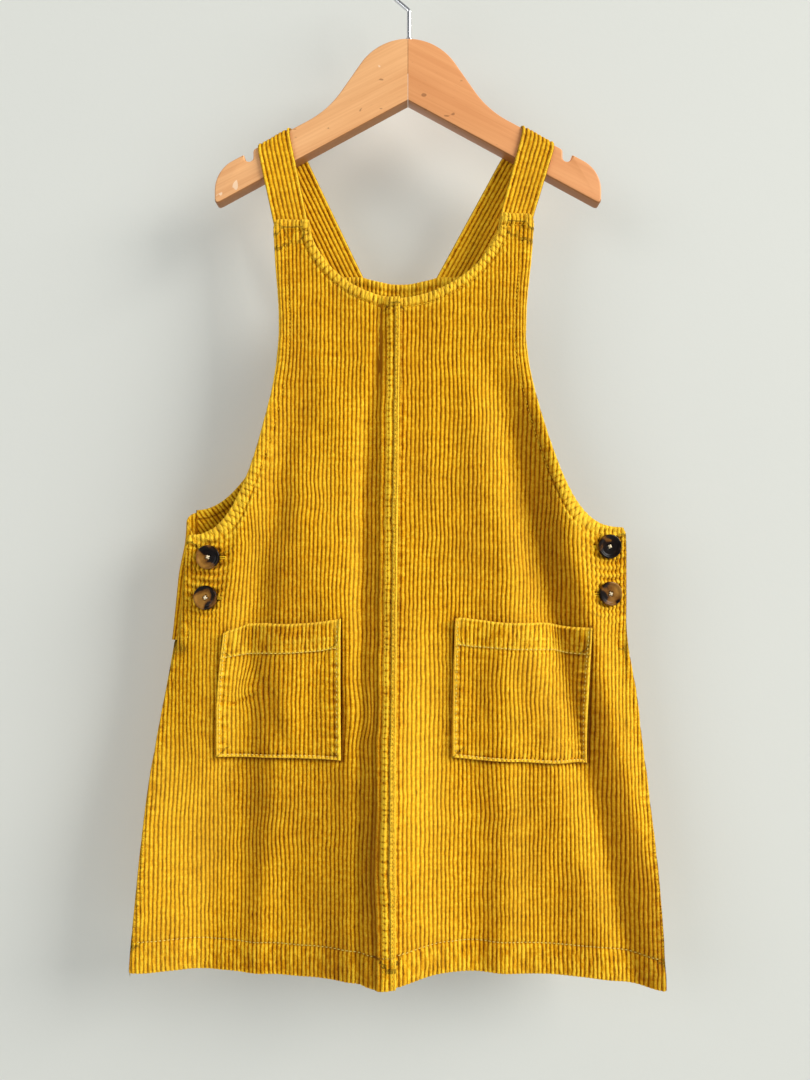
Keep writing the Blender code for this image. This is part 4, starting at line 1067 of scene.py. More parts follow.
def neckFacing():
    # a band inside the back neckline, lifted where it crosses the strap ends
    c, half = cut["centre"], cut["backHalf"] - 0.002
    x = c - half + waleColumns(2 * half, rib["pitch"], frontPhases)
    v = np.concatenate([[0.0, 0.0004, 0.0009, 0.0016], np.linspace(0.0028, cut["facing"], 16)])
    xx, vv = np.meshgrid(x, v)
    z = backTop(xx) - vv
    ramp = ease((np.abs(xx - c) - 0.006) / 0.012)
    gap, wall = cut["gap"], cut["wall"]
    stand = 1.5 * gap + wall + (2 * gap + wall + 0.0005 - 1.5 * gap) * ramp
    base, normal = onSurface(xx, z, insideBack, -1.0)
    base = base + normal * stand[..., None]
    wale = (xx - c + half) / rib["pitch"]
    more, values = seamSum([
        dict(d=vv, s=xx, at=0.0065, swell=0.0008, drawn=0.0008, seed=109, knots=0.5),
    ], 0.9 * hill(vv, 0.0014))
    off = more - rolled(vv, 0.0012) + ribbed(z, wale, 23)
    return sheetPiece("backNeckFacing", base, normal, off, 0 * off, wale, z, values)


def armholeFacing(side):
    # a band inside the back armhole, its ribs slanting
    sign = signs[side]
    start = cut["backHalf"] + sign * cut["centre"]
    out = np.linspace(start + 0.013, cut["backArmOut"] - 0.0004, 190)
    edge = backTop(sign * out)
    slope = np.gradient(edge, out)
    size = np.sqrt(1 + slope**2)
    v = np.concatenate([[0.0, 0.0004, 0.0009, 0.0016], np.linspace(0.0024, cut["facing"], 34)])
    oo, vv = np.meshgrid(out, v)
    x = sign * (oo + (slope / size)[None, :] * vv)
    z = edge[None, :] - vv / size[None, :]
    base, normal = onSurface(x, z, insideBack, -1.0)
    base = base + normal * (cut["wall"] + 1.5 * cut["gap"])
    wale = (x * 0.80 - sign * z * 0.60) / rib["pitch"]
    more, values = seamSum([
        dict(d=vv, s=oo, at=0.0075, swell=0.0009, drawn=0.0008, seed=111, knots=0.0, dark=0.9),
    ], 0.8 * hill(vv, 0.0014))
    off = more - rolled(vv, 0.0012) - (1 - ribShape(wale)) * 0.0006
    return sheetPiece("armholeFacing" + side.capitalize(), base, normal, off, 0 * off, wale, z, values)


def standPoint(side, turn, reach, z):
    # rear flat, a half turn round the side edge, then in behind the front
    sign = signs[side]
    edge = "backLeft" if sign < 0 else "right"
    wall, gap = cut["wall"], cut["gap"]
    yFront = -down(z, depthTable["z"], depthTable["side"]) + 1.5 * wall + gap
    radius = np.maximum(0.0024, (-0.85 * (yFront - 1.5 * wall - gap) - wall / 2 - yFront) / 2)
    turnX = edgeOut(z, edge) + cut["standOver"][side] - radius - wall / 2
    if turn is None and reach < 0:
        return cut["backArmOut"] + 0.0009 + 0 * z, backY(sign * cut["backArmOut"] + 0 * z, z) - wall / 2
    if turn is not None:
        a = math.radians(turn)
        return turnX + radius * math.cos(a), yFront + radius * (1 + math.sin(a))
    out = turnX - 0.002 - (turnX - 0.002 - cut["standIn"]) * reach
    face = frontY(sign * out, z)
    return out, np.maximum(face + 1.5 * wall + 2.2 * gap, face + 0.003)


standShape = {
    "raised": {"left": 0.0050, "right": 0.0}, "below": 0.003, "bendPower": 1.6, "nick": 0.0036,
    "nickFoot": -0.486, "nickTall": 0.045, "nickFrom": 0.160, "nickWide": 0.010,
}


def buttonStand(side):
    sign, raised, below = signs[side], standShape["raised"][side], standShape["below"]
    stations = [(None, -1.0)] + [(a, 0.0) for a in np.linspace(90, -90, 13)]
    stations += [(None, t) for t in np.linspace(0, 1, 9)]
    share = np.concatenate([[0.0, 0.006, 0.02], np.linspace(0.04, 1.0, 42)])
    outs, ys, zs = [], [], []
    armDip = float(sideTop(np.array(cut["armOut"]), side)) - below
    for turn, reach in stations:
        top = cut["standTop"][side] + raised
        if turn is None and reach < 0:
            top = cut["backArmLow"][side] - 0.0002
        elif turn is None:
            outHere = float(standPoint(side, turn, reach, np.array(top))[0])
            top = min(top, float(sideTop(np.array(min(outHere, cut["armOut"])), side)) - below)
        else:
            bend = ((90.0 - turn) / 180.0) ** standShape["bendPower"]
            top = top + (min(top, armDip + raised) - top) * bend
        z = top + (cut["placketLow"] - top) * share
        out, y = standPoint(side, turn, reach, z)
        if side == "left":
            high = ease((z - standShape["nickFoot"]) / standShape["nickTall"])
            outer = ease((out - standShape["nickFrom"]) / standShape["nickWide"])
            out = out - standShape["nick"] * high * outer
        outs.append(out), ys.append(y), zs.append(z)
    coarse = np.stack([np.array(outs), np.array(ys), np.array(zs)], axis=2).transpose(1, 0, 2)
    mean = coarse.mean(axis=0)
    length = summed(np.linalg.norm(np.diff(mean[:, :2], axis=0), axis=1))
    at = waleColumns(length[-1], rib["pitch"], frontPhases)
    pick = np.clip(np.searchsorted(length, at, side="right") - 1, 0, len(length) - 2)
    t = ((at - length[pick]) / (length[pick + 1] - length[pick]))[None, :, None]
    mid = coarse[:, pick] * (1 - t) + coarse[:, pick + 1] * t
    step = np.gradient(mid[..., :2], axis=1)
    size = np.linalg.norm(step, axis=2)
    normal = np.stack([-step[..., 1] / size, step[..., 0] / size, 0 * size], axis=2)
    place = mid.copy()
    place[..., 0] = lean(sign * mid[..., 0], mid[..., 2])
    normal[..., 0] *= sign
    wale = np.repeat((at / rib["pitch"])[None, :], len(share), axis=0)
    z = mid[..., 2]
    tall = (mid[:1, :, 2] - z)
    off = -rolled(tall, 0.0010) - (1 - ribShape(wale)) * 0.0005
    wearAndShading = np.clip(0.7 * hill(tall, 0.0014), 0, 1)
    values = seamSum([], wearAndShading)[1]
    base = place + normal * cut["wall"] / 2
    piece = sheetPiece("buttonStand" + side.capitalize(), base, normal, off, off, wale, z, values)
    return ribbedTwice(piece)


facingNeck = neckFacing()
facings = bothSides(armholeFacing)
stands = bothSides(buttonStand)
print("facings and stands made")


sewing = {"pitch": 0.0031, "long": 0.0023, "thick": 0.00033, "lift": 0.00008}


def stitchRow(path, place):
    # thread stitches along a path, which place puts on the cloth; each is a short rod that
    # is thin at both ends: five rings of five points
    path = evenly(path, sewing["pitch"] / 2)
    points, normal = place(path)
    way = unit(np.gradient(points, axis=0))
    across = np.cross(way, normal)
    pick = slice(1, len(path) - 1, 2)
    points, way, across, normal = points[pick], way[pick], across[pick], normal[pick]
    s = np.linspace(-1, 1, 5)
    a = roundAngles(5)
    size = sewing["thick"] * np.sqrt(np.maximum(1.04 - s**2, 0.03))
    dip = -0.00025 * s**2
    n = len(points)
    upwards = size[:, None] * np.sin(a)[None, :] + dip[:, None] + sewing["lift"]
    grid = (
        points[:, None, None, :] + way[:, None, None, :] * (s * sewing["long"] / 2)[None, :, None, None]
        + across[:, None, None, :] * (size[:, None] * np.cos(a)[None, :])[None, :, :, None]
        + normal[:, None, None, :] * upwards[None, :, :, None]
    )
    ring = np.arange(n * 25).reshape(n, 5, 5)
    nextRing = np.roll(ring, -1, axis=2)
    sides = np.stack([ring[:, :-1], nextRing[:, :-1], nextRing[:, 1:], ring[:, 1:]], axis=-1).reshape(-1, 4)
    ends = np.concatenate([ring[:, 0, ::-1], ring[:, -1]]).tolist()
    return grid.reshape(-1, 3), sides.tolist(), ends


def stitchPiece(name, rowsOfPaths):
    points, faces, count = [], [], 0
    for path, place in rowsOfPaths:
        p, sides, ends = stitchRow(path, place)
        faces += (np.array(sides) + count).tolist() + (np.array(ends) + count).tolist()
        points.append(p)
        count += len(p)
    return meshFrom(name, np.concatenate(points), faces)


def onFront(side):
    def place(path):
        x, z = path[:, 0], path[:, 1]
        base, normal = onSurface(x, z, frontY, -1.0)
        off = frontDetail(x, z, side)[0]
        rise = lapRise(x) if side == "left" else 0 * x
        return base + normal * (off + rise)[:, None], normal

    return place


def onPocket(side):
    def place(path):
        u, v = path[:, 0], path[:, 1]
        wide, tall = pocketSize(side)
        u, v = u / wide, v / tall
        x, z, stand = pocketPlace(side, u, v)
        off = pocketDetail(side, u, v, x, z)[0]
        base, normal = onSurface(x, z, frontY, -1.0)
        return base + normal * (stand + off)[:, None], normal

    return place


def onBack(path):
    base, normal = onSurface(path[:, 0], path[:, 1], backY, 1.0)
    return base + normal * backDetail(path[:, 0], path[:, 1])[0][:, None], normal


def frontStitches(side, bright=False):
    sign = signs[side]
    p = paths[side]
    lapEdge = lapEdges[side]
    neck = moved(p["neck"], -sign * stitch["neck"])
    neck = neck[(neck[:, 1] < cut["bibTop"][side] - 0.003)]
    neck = neck[sign * (neck[:, 0] - cut["centre"]) > (0.0 if sign < 0 else 0.001)]
    arm = moved(p["arm"], -sign * stitch["arm"])[14:-10]
    flap = moved(p["seam"], -sign * stitch["flap"])
    flap = flap[(flap[:, 1] < cut["armLow"][side] - stitch["arm"]) & (flap[:, 1] > -0.533)]
    xs = np.linspace(lapEdge + sign * 0.0135 if sign > 0 else lapEdge - 0.001,
        sign * (cornerOut(side) - 0.006), 300)
    hem = np.stack([xs, hemZ(xs) + stitch["hem"]], axis=1)
    reach = abs(cut["neckCentre"] + sign * cut["neckHalf"][side])
    xs = np.linspace(sign * (reach + 0.003), sign * (cut["bibHalf"][side] - 0.006), 20)
    seat = np.stack([xs, bibTop(xs, side) - stitch["seat"]], axis=1)
    if bright:
        return stitchPiece("hemStitching" + side.capitalize(), [(hem, onFront(side))])
    rows = [neck, arm, flap, seat]
    if sign < 0:
        for at in (stitch["lapNear"], stitch["lapFar"]):
            top = float(bibTop(np.array(lapEdge - at), side)) - 0.002
            zs = np.linspace(top, float(hemZ(lapEdge - at)) + 0.002, 500)
            rows.append(np.stack([np.full(500, lapEdge - at), zs], axis=1))
    return stitchPiece("stitching" + side.capitalize(), [(r, onFront(side)) for r in rows])


def pocketStitches(side):
    wide, tall = pocketSize(side)
    e = pockets["edge"]
    frameRow = np.array([(e, 0.002), (e, tall - e), (wide - e, tall - e), (wide - e, 0.002)])
    band = np.array([(e, pockets["band"]), (wide - e, pockets["band"])])
    rows = [(evenly(row, 0.0005), onPocket(side)) for row in (frameRow, band)]
    return stitchPiece("pocketStitching" + side.capitalize(), rows)


def backStitches():
    xs = np.linspace(-0.205, 0.193, 500)
    hem = np.stack([xs, hemZ(xs) + stitch["hem"]], axis=1)
    xs = np.linspace(-0.158, 0.158, 800)
    top = np.stack([xs, backTop(xs)], axis=1)
    top = moved(evenly(top, 0.0008), -0.0085)
    return stitchPiece("backStitching", [(hem, onBack), (top, onBack)])


stitching = {"left": frontStitches("left"), "right": frontStitches("right"), "back": backStitches()}
brightStitching = [frontStitches(side, True) for side in signs] + [pocketStitches(side) for side in signs]
print("stitching made", [len(o.data.polygons) for o in stitching.values()])


buttons = {
    "places": buttonPlaces,
    "turns": (20.0, -35.0, 65.0, 10.0),
    # the profile, from the middle of the dish over the rim to the middle of the underside
    "radius": (
        0.0, 0.0012, 0.0025, 0.0038, 0.0050, 0.0061, 0.0067, 0.0072, 0.0078,
        0.0084, 0.0089, 0.0092, 0.0094, 0.0094, 0.0092, 0.0083, 0.0,
    ),
    "height": (
        0.0021, 0.00212, 0.00216, 0.0022, 0.00226, 0.0023, 0.00245, 0.0028, 0.0032,
        0.00345, 0.0034, 0.0031, 0.0026, 0.0012, 0.0005, 0.0, 0.0,
    ),
    "holeOff": 0.0013, "hole": 0.00075, "stand": 0.0005,
}


def buttonFrame(x, z):
    base, normal = onSurface(np.array([x]), np.array([z]), frontY, -1.0)
    base, normal = base[0], normal[0]
    across = unit(np.cross(normal, (0.0, 0.0, 1.0)))
    return base + normal * buttons["stand"], normal, across, np.cross(across, normal)


def buttonPiece(number, x, z, turn):
    # a profile turned about its middle, with four holes pressed into the dish
    place, normal, across, up = buttonFrame(x, z)
    length = lengths(np.stack([buttons["radius"], buttons["height"]], axis=1))
    end = length[-1]
    at = np.concatenate([np.linspace(0.00025, 0.0042, 16), np.linspace(0.0045, end - 0.004, 26),
        [end - 0.0005]])
    r, h = np.interp(at, length, buttons["radius"]), np.interp(at, length, buttons["height"])
    segments = 56
    a = roundAngles(segments)
    rr, aa = np.meshgrid(r, a, indexing="ij")
    hh = np.repeat(h[:, None], segments, axis=1)
    px, pz = rr * np.cos(aa), rr * np.sin(aa)
    spin = math.radians(turn)
    for k in range(4):
        b = spin + math.pi / 4 + k * math.pi / 2
        away = buttons["holeOff"] * 1.25
        d = np.hypot(px - away * math.cos(b), pz - away * math.sin(b))
        hh = hh - 0.0013 * ease(1.6 - d / buttons["hole"]) * (hh > 0.0015)
    points = place + normal * hh[..., None] + across * px[..., None] + up * pz[..., None]
    ring = np.arange(len(r) * segments).reshape(len(r), segments)
    faces = quads(closedRings(ring)).tolist() + [ring[0, ::-1].tolist(), ring[-1].tolist()]
    tone = np.full(len(r) * segments, float(number))
    return meshFrom("button%d" % number, points.reshape(-1, 3), faces, toneAt=tone)


def threadCross(number, x, z, turn):
    # two thick bars of thread crossing in the dish
    place, normal, across, up = buttonFrame(x, z)
    parts, faces, count = [], [], 0
    for k in range(2):
        b = math.radians(turn) + math.pi / 4 + k * math.pi / 2
        way = across * math.cos(b) + up * math.sin(b)
        flat = np.cross(normal, way)
        t = np.linspace(-1, 1, 11)
        lift = 0.0021 + (0.00085 + 0.00025 * k) * np.sqrt(np.maximum(1 - t**2, 0)) - 0.0003 * t**2
        a = roundAngles(8)
        size = 0.00042 * (0.9 + 0.1 * np.cos(t * 9))
        centre = place + way * (t * buttons["holeOff"] * 1.25)[:, None] + normal * lift[:, None]
        sideways, upwards = size[:, None] * np.cos(a), size[:, None] * np.sin(a)
        grid = centre[:, None] + flat * sideways[..., None] * 1.5 + normal * upwards[..., None]
        ring = np.arange(grid.shape[0] * 8).reshape(-1, 8) + count
        faces += quads(closedRings(ring)).tolist() + [ring[0, ::-1].tolist(), ring[-1].tolist()]
        parts.append(grid.reshape(-1, 3))
        count += grid.shape[0] * 8
    return meshFrom("buttonThread%d" % number, np.concatenate(parts), faces)


def buttonhole(number, x, z):
    # a narrow loop of close thread round a slit, from under the button towards the middle
    toMiddle = 1.0 if x < 0 else -1.0
    half, tall, thick = 0.0096, 0.0008, 0.00048
    a = roundAngles(120)
    cx = x + toMiddle * 0.0035
    lx = np.clip(1.18 * np.cos(a), -1, 1) * half
    lz = np.sin(a) * tall * (1.0 + 0.5 * hill(lx * toMiddle - half, 0.002))
    px, pz = cx + lx, z - 0.0004 + lz
    base, normal = onSurface(px, pz, frontY, -1.0)
    way = unit(np.roll(base, -1, axis=0) - np.roll(base, 1, axis=0))
    across = np.cross(way, normal)
    b = roundAngles(8)
    sideways, upwards = thick * np.cos(b), thick * np.sin(b) * 0.7 + 0.0001
    grid = base[:, None] + across[:, None] * sideways[:, None] + normal[:, None] * upwards[:, None]
    ring = np.arange(120 * 8).reshape(120, 8)
    ring = np.concatenate([ring, ring[:1]])
    return meshFrom("buttonhole%d" % number, grid.reshape(-1, 3), quads(closedRings(ring)).tolist())


buttonPieces, threadPieces, holePieces = [], [], []
for number, ((x, z), turn) in enumerate(zip(buttons["places"], buttons["turns"]), 1):
    buttonPieces.append(buttonPiece(number, x, z, turn))
    threadPieces.append(threadCross(number, x, z, turn))
    holePieces.append(buttonhole(number, x, z))
print("buttons made")

hanger = {
    "top": -0.0633, "half": 0.0060, "humpR": 0.0450, "flank": math.radians(55.0), "flankEnd": 0.0520,
    "hollowR": 0.0750, "arm": math.radians(28.0), "notchIn": 0.1205, "notchWide": 0.0070,
    "notchDeep": 0.0075, "tipStart": 0.1366, "tipR": 0.0264, "tipCorner": 0.0050,
    "apexDrop": 0.0480, "under": math.radians(28.5), "round": 0.0014, "mitre": 0.00015,
}


def armOutline():
    # hump arc, straight flank, hollow arc, straight arm, notch, tip arc, then the underside
    h = hanger
    a = np.linspace(0, h["flank"], 40)
    hump = np.stack([h["humpR"] * np.sin(a), -h["humpR"] * (1 - np.cos(a))], axis=1)
    hump[0] = (h["mitre"], 0.0)
    x, z = h["flankEnd"], hump[-1, 1] - (h["flankEnd"] - hump[-1, 0]) * math.tan(h["flank"])
    a = np.linspace(h["flank"], h["arm"], 36)
    hollowX = x + h["hollowR"] * (math.sin(h["flank"]) - np.sin(a))
    hollow = np.stack([hollowX, z - h["hollowR"] * (np.cos(a) - math.cos(h["flank"]))], axis=1)
    x, z = hollow[-1]

    def upper(out):
        return z - (out - x) * math.tan(h["arm"])

    r = h["notchWide"] / 2
    middle = h["notchIn"] + r
    floor = upper(middle) - h["notchDeep"] + r
    a = np.radians(np.linspace(180, 360, 19))
    lip = 0.0020

    def rounded(start, corner, end, count=8):
        # a corner cut round: from start to end, pulled towards the corner
        t = np.linspace(0, 1, count)[:, None]
        return (1 - t) ** 2 * np.array(start) + 2 * t * (1 - t) * np.array(corner) + t**2 * np.array(end)

    near, past = h["notchIn"], middle + r
    notch = np.concatenate([
        rounded((near - lip, upper(near - lip)), (near, upper(near)), (near, upper(near) - lip)),
        np.stack([middle + r * np.cos(a), floor + r * np.sin(a)], axis=1),
        rounded((past, upper(past) - lip), (past, upper(past)), (past + lip, upper(past + lip))),
    ])
    a = np.linspace(h["arm"], math.radians(90), 26)
    tipX = h["tipStart"] + h["tipR"] * (np.sin(a) - math.sin(h["arm"]))
    tip = np.stack([tipX, upper(h["tipStart"]) - h["tipR"] * (math.cos(h["arm"]) - np.cos(a))], axis=1)
    tipX = tip[-1, 0]
    low = -h["apexDrop"] - tipX * math.tan(h["under"])
    c = h["tipCorner"]
    corner = rounded((tipX, low + c), (tipX, low), (tipX - c, low + c * math.tan(h["under"])))
    under = np.concatenate([corner, [(h["mitre"], -h["apexDrop"] - h["mitre"] * math.tan(h["under"]))]])
    return np.concatenate([hump, hollow, notch, tip, under])


def insetOutline(pts, amount):
    # the closed outline moved inwards; its two ends stay at the mitre
    way = unit(unit(pts - np.roll(pts, 1, axis=0)) + unit(np.roll(pts, -1, axis=0) - pts))
    result = pts + np.stack([way[:, 1], -way[:, 0]], axis=1) * amount
    result[0, 0], result[-1, 0] = pts[0, 0], pts[-1, 0]
    return result


def hangerArm(side):
    # the outline at several depths, drawn in at front and back for a rounded edge
    sign = signs[side]
    outline = armOutline()
    r, half = hanger["round"], hanger["half"]
    a = np.radians(np.linspace(90, 0, 6))
    drawn = [(r * (1 - math.cos(t)), -half + r * (1 - math.sin(t))) for t in a]
    rings = drawn + [(i, -y) for i, y in reversed(drawn)]
    count = len(outline)
    table = []
    for amount, y in rings:
        inset = insetOutline(outline, amount)
        table.append(np.stack([sign * inset[:, 0], np.full(count, y), hanger["top"] + inset[:, 1]], axis=1))
    index = np.arange(len(rings) * count).reshape(len(rings), count)
    faces = quads(closedRings(index)).tolist()
    faces += [index[0].tolist(), index[-1, ::-1].tolist()]
    # the underside band, which the wood paints with shade
    under = np.zeros((len(rings), count))
    under[2:-2, -8:] = 1.0
    piece = meshFrom("hanger" + side.capitalize(), np.concatenate(table), faces, underAt=under)
    piece.data.set_sharp_from_angle(angle=math.radians(40.0))
    return piece


hangerArms = bothSides(hangerArm)

hook = {
    "wire": 0.00175, "stemX": 0.0008, "boreDeep": 0.0240, "bendZ": -0.0398, "bendR": 0.0032,
    "crookR": 0.0170, "end": math.radians(-18.0), "ringIn": 0.0022, "ringOut": 0.0036, "ringTall": 0.0022,
}


def hookPath():
    # stem, small bend, straight lean, crook
    h = hook
    centre = np.array([0.0, h["wire"] - h["crookR"]])
    bend = np.array([h["stemX"] - h["bendR"], h["bendZ"]])
    gap = centre - bend
    aim = math.atan2(gap[1], gap[0])
    leave = aim - math.acos((h["bendR"] + h["crookR"]) / np.linalg.norm(gap))
    a = np.linspace(0, leave, 24)
    turn = bend + h["bendR"] * np.stack([np.cos(a), np.sin(a)], axis=1)
    a = np.linspace(leave + math.pi, h["end"], 110)
    crook = centre + h["crookR"] * np.stack([np.cos(a), np.sin(a)], axis=1)
    stemZ = np.linspace(hanger["top"] - h["boreDeep"] + 0.0006, h["bendZ"] - 0.001, 14)
    stem = np.stack([np.full(14, h["stemX"]), stemZ], axis=1)
    return np.concatenate([stem, turn, crook])


def hookPiece():
    path = hookPath()
    way = unit(np.gradient(path, axis=0))
    side = np.stack([way[:, 1], -way[:, 0]], axis=1)
    # a rounded tip: the last rings shrink over one wire radius
    tip = np.array((0.0, 0.35, 0.65, 0.87, 0.97))
    tipPoints = path[-1] + way[-1] * hook["wire"] * (tip - 1.0)[:, None] * 0.98
    path = np.concatenate([path[:-2], tipPoints])
    side = np.concatenate([side[:-2], np.repeat(side[-1:], 5, axis=0)])
    size = np.concatenate([np.full(len(path) - 5, 1.0), np.sqrt(1 - tip**2)]) * hook["wire"]
    a = roundAngles(28)
    x = path[:, :1] + side[:, :1] * size[:, None] * np.cos(a)
    z = path[:, 1:] + side[:, 1:] * size[:, None] * np.cos(a)
    y = size[:, None] * np.sin(a) + 0 * x
    grid = np.stack([x, y, z], axis=2)
    ring = np.arange(len(path) * 28).reshape(-1, 28)
    faces = quads(closedRings(ring)).tolist() + [ring[0].tolist(), ring[-1, ::-1].tolist()]
    return meshFrom("hookWire", grid.reshape(-1, 3), faces)


def collarPiece():
    # a small pressed ring round the foot of the hook
    low = hanger["top"] + cut["gap"]
    tall = hook["ringTall"]
    inner, outer = hook["ringIn"], hook["ringOut"]
    profile = np.array([
        (inner, low), (outer - 0.0003, low), (outer, low + 0.0004), (outer, low + tall - 0.0009),
        (outer - 0.0004, low + tall - 0.0002), (outer - 0.0009, low + tall), (inner, low + tall),
    ])
    a = roundAngles(48)
    grid = np.stack([hook["stemX"] + profile[:, :1] * np.cos(a), profile[:, :1] * np.sin(a),
        np.repeat(profile[:, 1:], 48, axis=1)], axis=2)
    ring = np.arange(len(profile) * 48).reshape(-1, 48)
    ring = np.concatenate([ring, ring[:1]])
    return meshFrom("hookCollar", grid.reshape(-1, 3), quads(closedRings(ring)).tolist())


hookWire, hookCollar = hookPiece(), collarPiece()
print("hanger made")


def operator(operation, swapped=False):
    # a method that joins two values by one maths node
    def join(self, other=0.0):
        return self.maths(operation, other, self) if swapped else self.maths(operation, self, other)

    return join


class Value:
    # one socket with the operators that shader maths needs
    def __init__(self, kit, socket):
        self.kit, self.socket = kit, socket

    def maths(self, operation, a, b):
        node = self.kit.add("ShaderNodeMath", {"operation": operation}, {0: a, 1: b})
        return Value(self.kit, node.outputs[0])

    __add__, __radd__ = operator("ADD"), operator("ADD", True)
    __sub__, __rsub__ = operator("SUBTRACT"), operator("SUBTRACT", True)
    __mul__, __rmul__ = operator("MULTIPLY"), operator("MULTIPLY", True)
    __pow__, __abs__, sine = operator("POWER"), operator("ABSOLUTE"), operator("SINE")

    def limited(self):
        node = self.kit.add("ShaderNodeClamp", {}, {"Value": self})
        return Value(self.kit, node.outputs[0])

    def between(self, low, high):
        # 0 below low, 1 above high, eased
        node = self.kit.add("ShaderNodeMapRange", {"interpolation_type": "SMOOTHSTEP"},
            {"Value": self, "From Min": low, "From Max": high})
        return Value(self.kit, node.outputs[0])


socketNames = {
    "colour": "Base Color", "rough": "Roughness", "metal": "Metallic", "gloss": "Specular IOR Level",
    "sheen": "Sheen Weight", "sheenRough": "Sheen Roughness", "sheenTint": "Sheen Tint",
    "coat": "Coat Weight", "coatRough": "Coat Roughness",
    "glow": "Emission Color", "glowStrength": "Emission Strength",
}


class Kit:
    def __init__(self, name):
        self.material = bpy.data.materials.new(name)
        self.material.use_nodes = True
        self.nodes, self.links = self.material.node_tree.nodes, self.material.node_tree.links
        self.shader = self.nodes["Principled BSDF"]
        self.output = self.nodes["Material Output"]

    def add(self, kind, settings, values):
        # any node: its settings first, then the values or links of its sockets
        node = self.nodes.new(kind)
        for key, value in settings.items():
            if key == "stops":
                ramp = node.color_ramp
                while len(ramp.elements) < len(value):
                    ramp.elements.new(0.5)
                for element, (place, colour) in zip(ramp.elements, value):
                    element.position, element.color = place, (*colour, 1.0)
            else:
                setattr(node, key, value)
        for key, value in values.items():
            self.put(node.inputs[key], value)
        return node

    def put(self, socket, value):
        if isinstance(value, Value):
            self.links.new(value.socket, socket)
        elif isinstance(value, bpy.types.NodeSocket):
            self.links.new(value, socket)
        else:
            socket.default_value = value

    def attribute(self, name):
        node = self.add("ShaderNodeAttribute", {"attribute_type": "GEOMETRY", "attribute_name": name}, {})
        return Value(self, node.outputs["Fac"])

    def objectPlace(self, turn=(0.0, 0.0, 0.0), stretch=(1.0, 1.0, 1.0)):
        where = self.add("ShaderNodeTexCoord", {}, {})
        node = self.add("ShaderNodeMapping", {"vector_type": "POINT"},
            {"Vector": where.outputs["Object"], "Rotation": turn, "Scale": stretch})
        return node.outputs[0]

    def vector(self, x, y, z):
        # three values as one vector
        return self.add("ShaderNodeCombineXYZ", {}, {"X": x, "Y": y, "Z": z}).outputs[0]

    def noise(self, place, scale, detail=2.0, rough=0.5, twist=0.0):
        node = self.add("ShaderNodeTexNoise", {},
            {"Vector": place, "Scale": scale, "Detail": detail, "Roughness": rough, "Distortion": twist})
        return Value(self, node.outputs["Fac"])

    def colour(self, share, a, b, blend="MIX"):
        node = self.add("ShaderNodeMix", {"data_type": "RGBA", "blend_type": blend}, {})
        self.put(node.inputs[0], share)
        for socket, value in ((node.inputs[6], a), (node.inputs[7], b)):
            self.put(socket, (*value, 1.0) if isinstance(value, tuple) and len(value) == 3 else value)
        return node.outputs[2]

    def ramp(self, value, stops):
        node = self.add("ShaderNodeValToRGB", {"stops": stops}, {"Fac": value})
        return node.outputs["Color"]

    def bump(self, height, distance, strength=1.0):
        node = self.add("ShaderNodeBump", {},
            {"Height": height, "Distance": distance, "Strength": strength})
        self.put(self.shader.inputs["Normal"], node.outputs["Normal"])

    def set(self, **values):
        for key, value in values.items():
            self.put(self.shader.inputs[socketNames[key]], value)
        return self


cordColours = {
    "furrowShade": (0.130, 0.028, 0.0001), "flank": (0.450, 0.162, 0.0003), "top": (0.740, 0.350, 0.0020),
    "bright": (0.940, 0.600, 0.030), "worn": (0.985, 0.610, 0.040), "inside": (0.400, 0.160, 0.001),
}


def times(factor, colour):
    return tuple(min(1.0, factor * c) for c in colour)


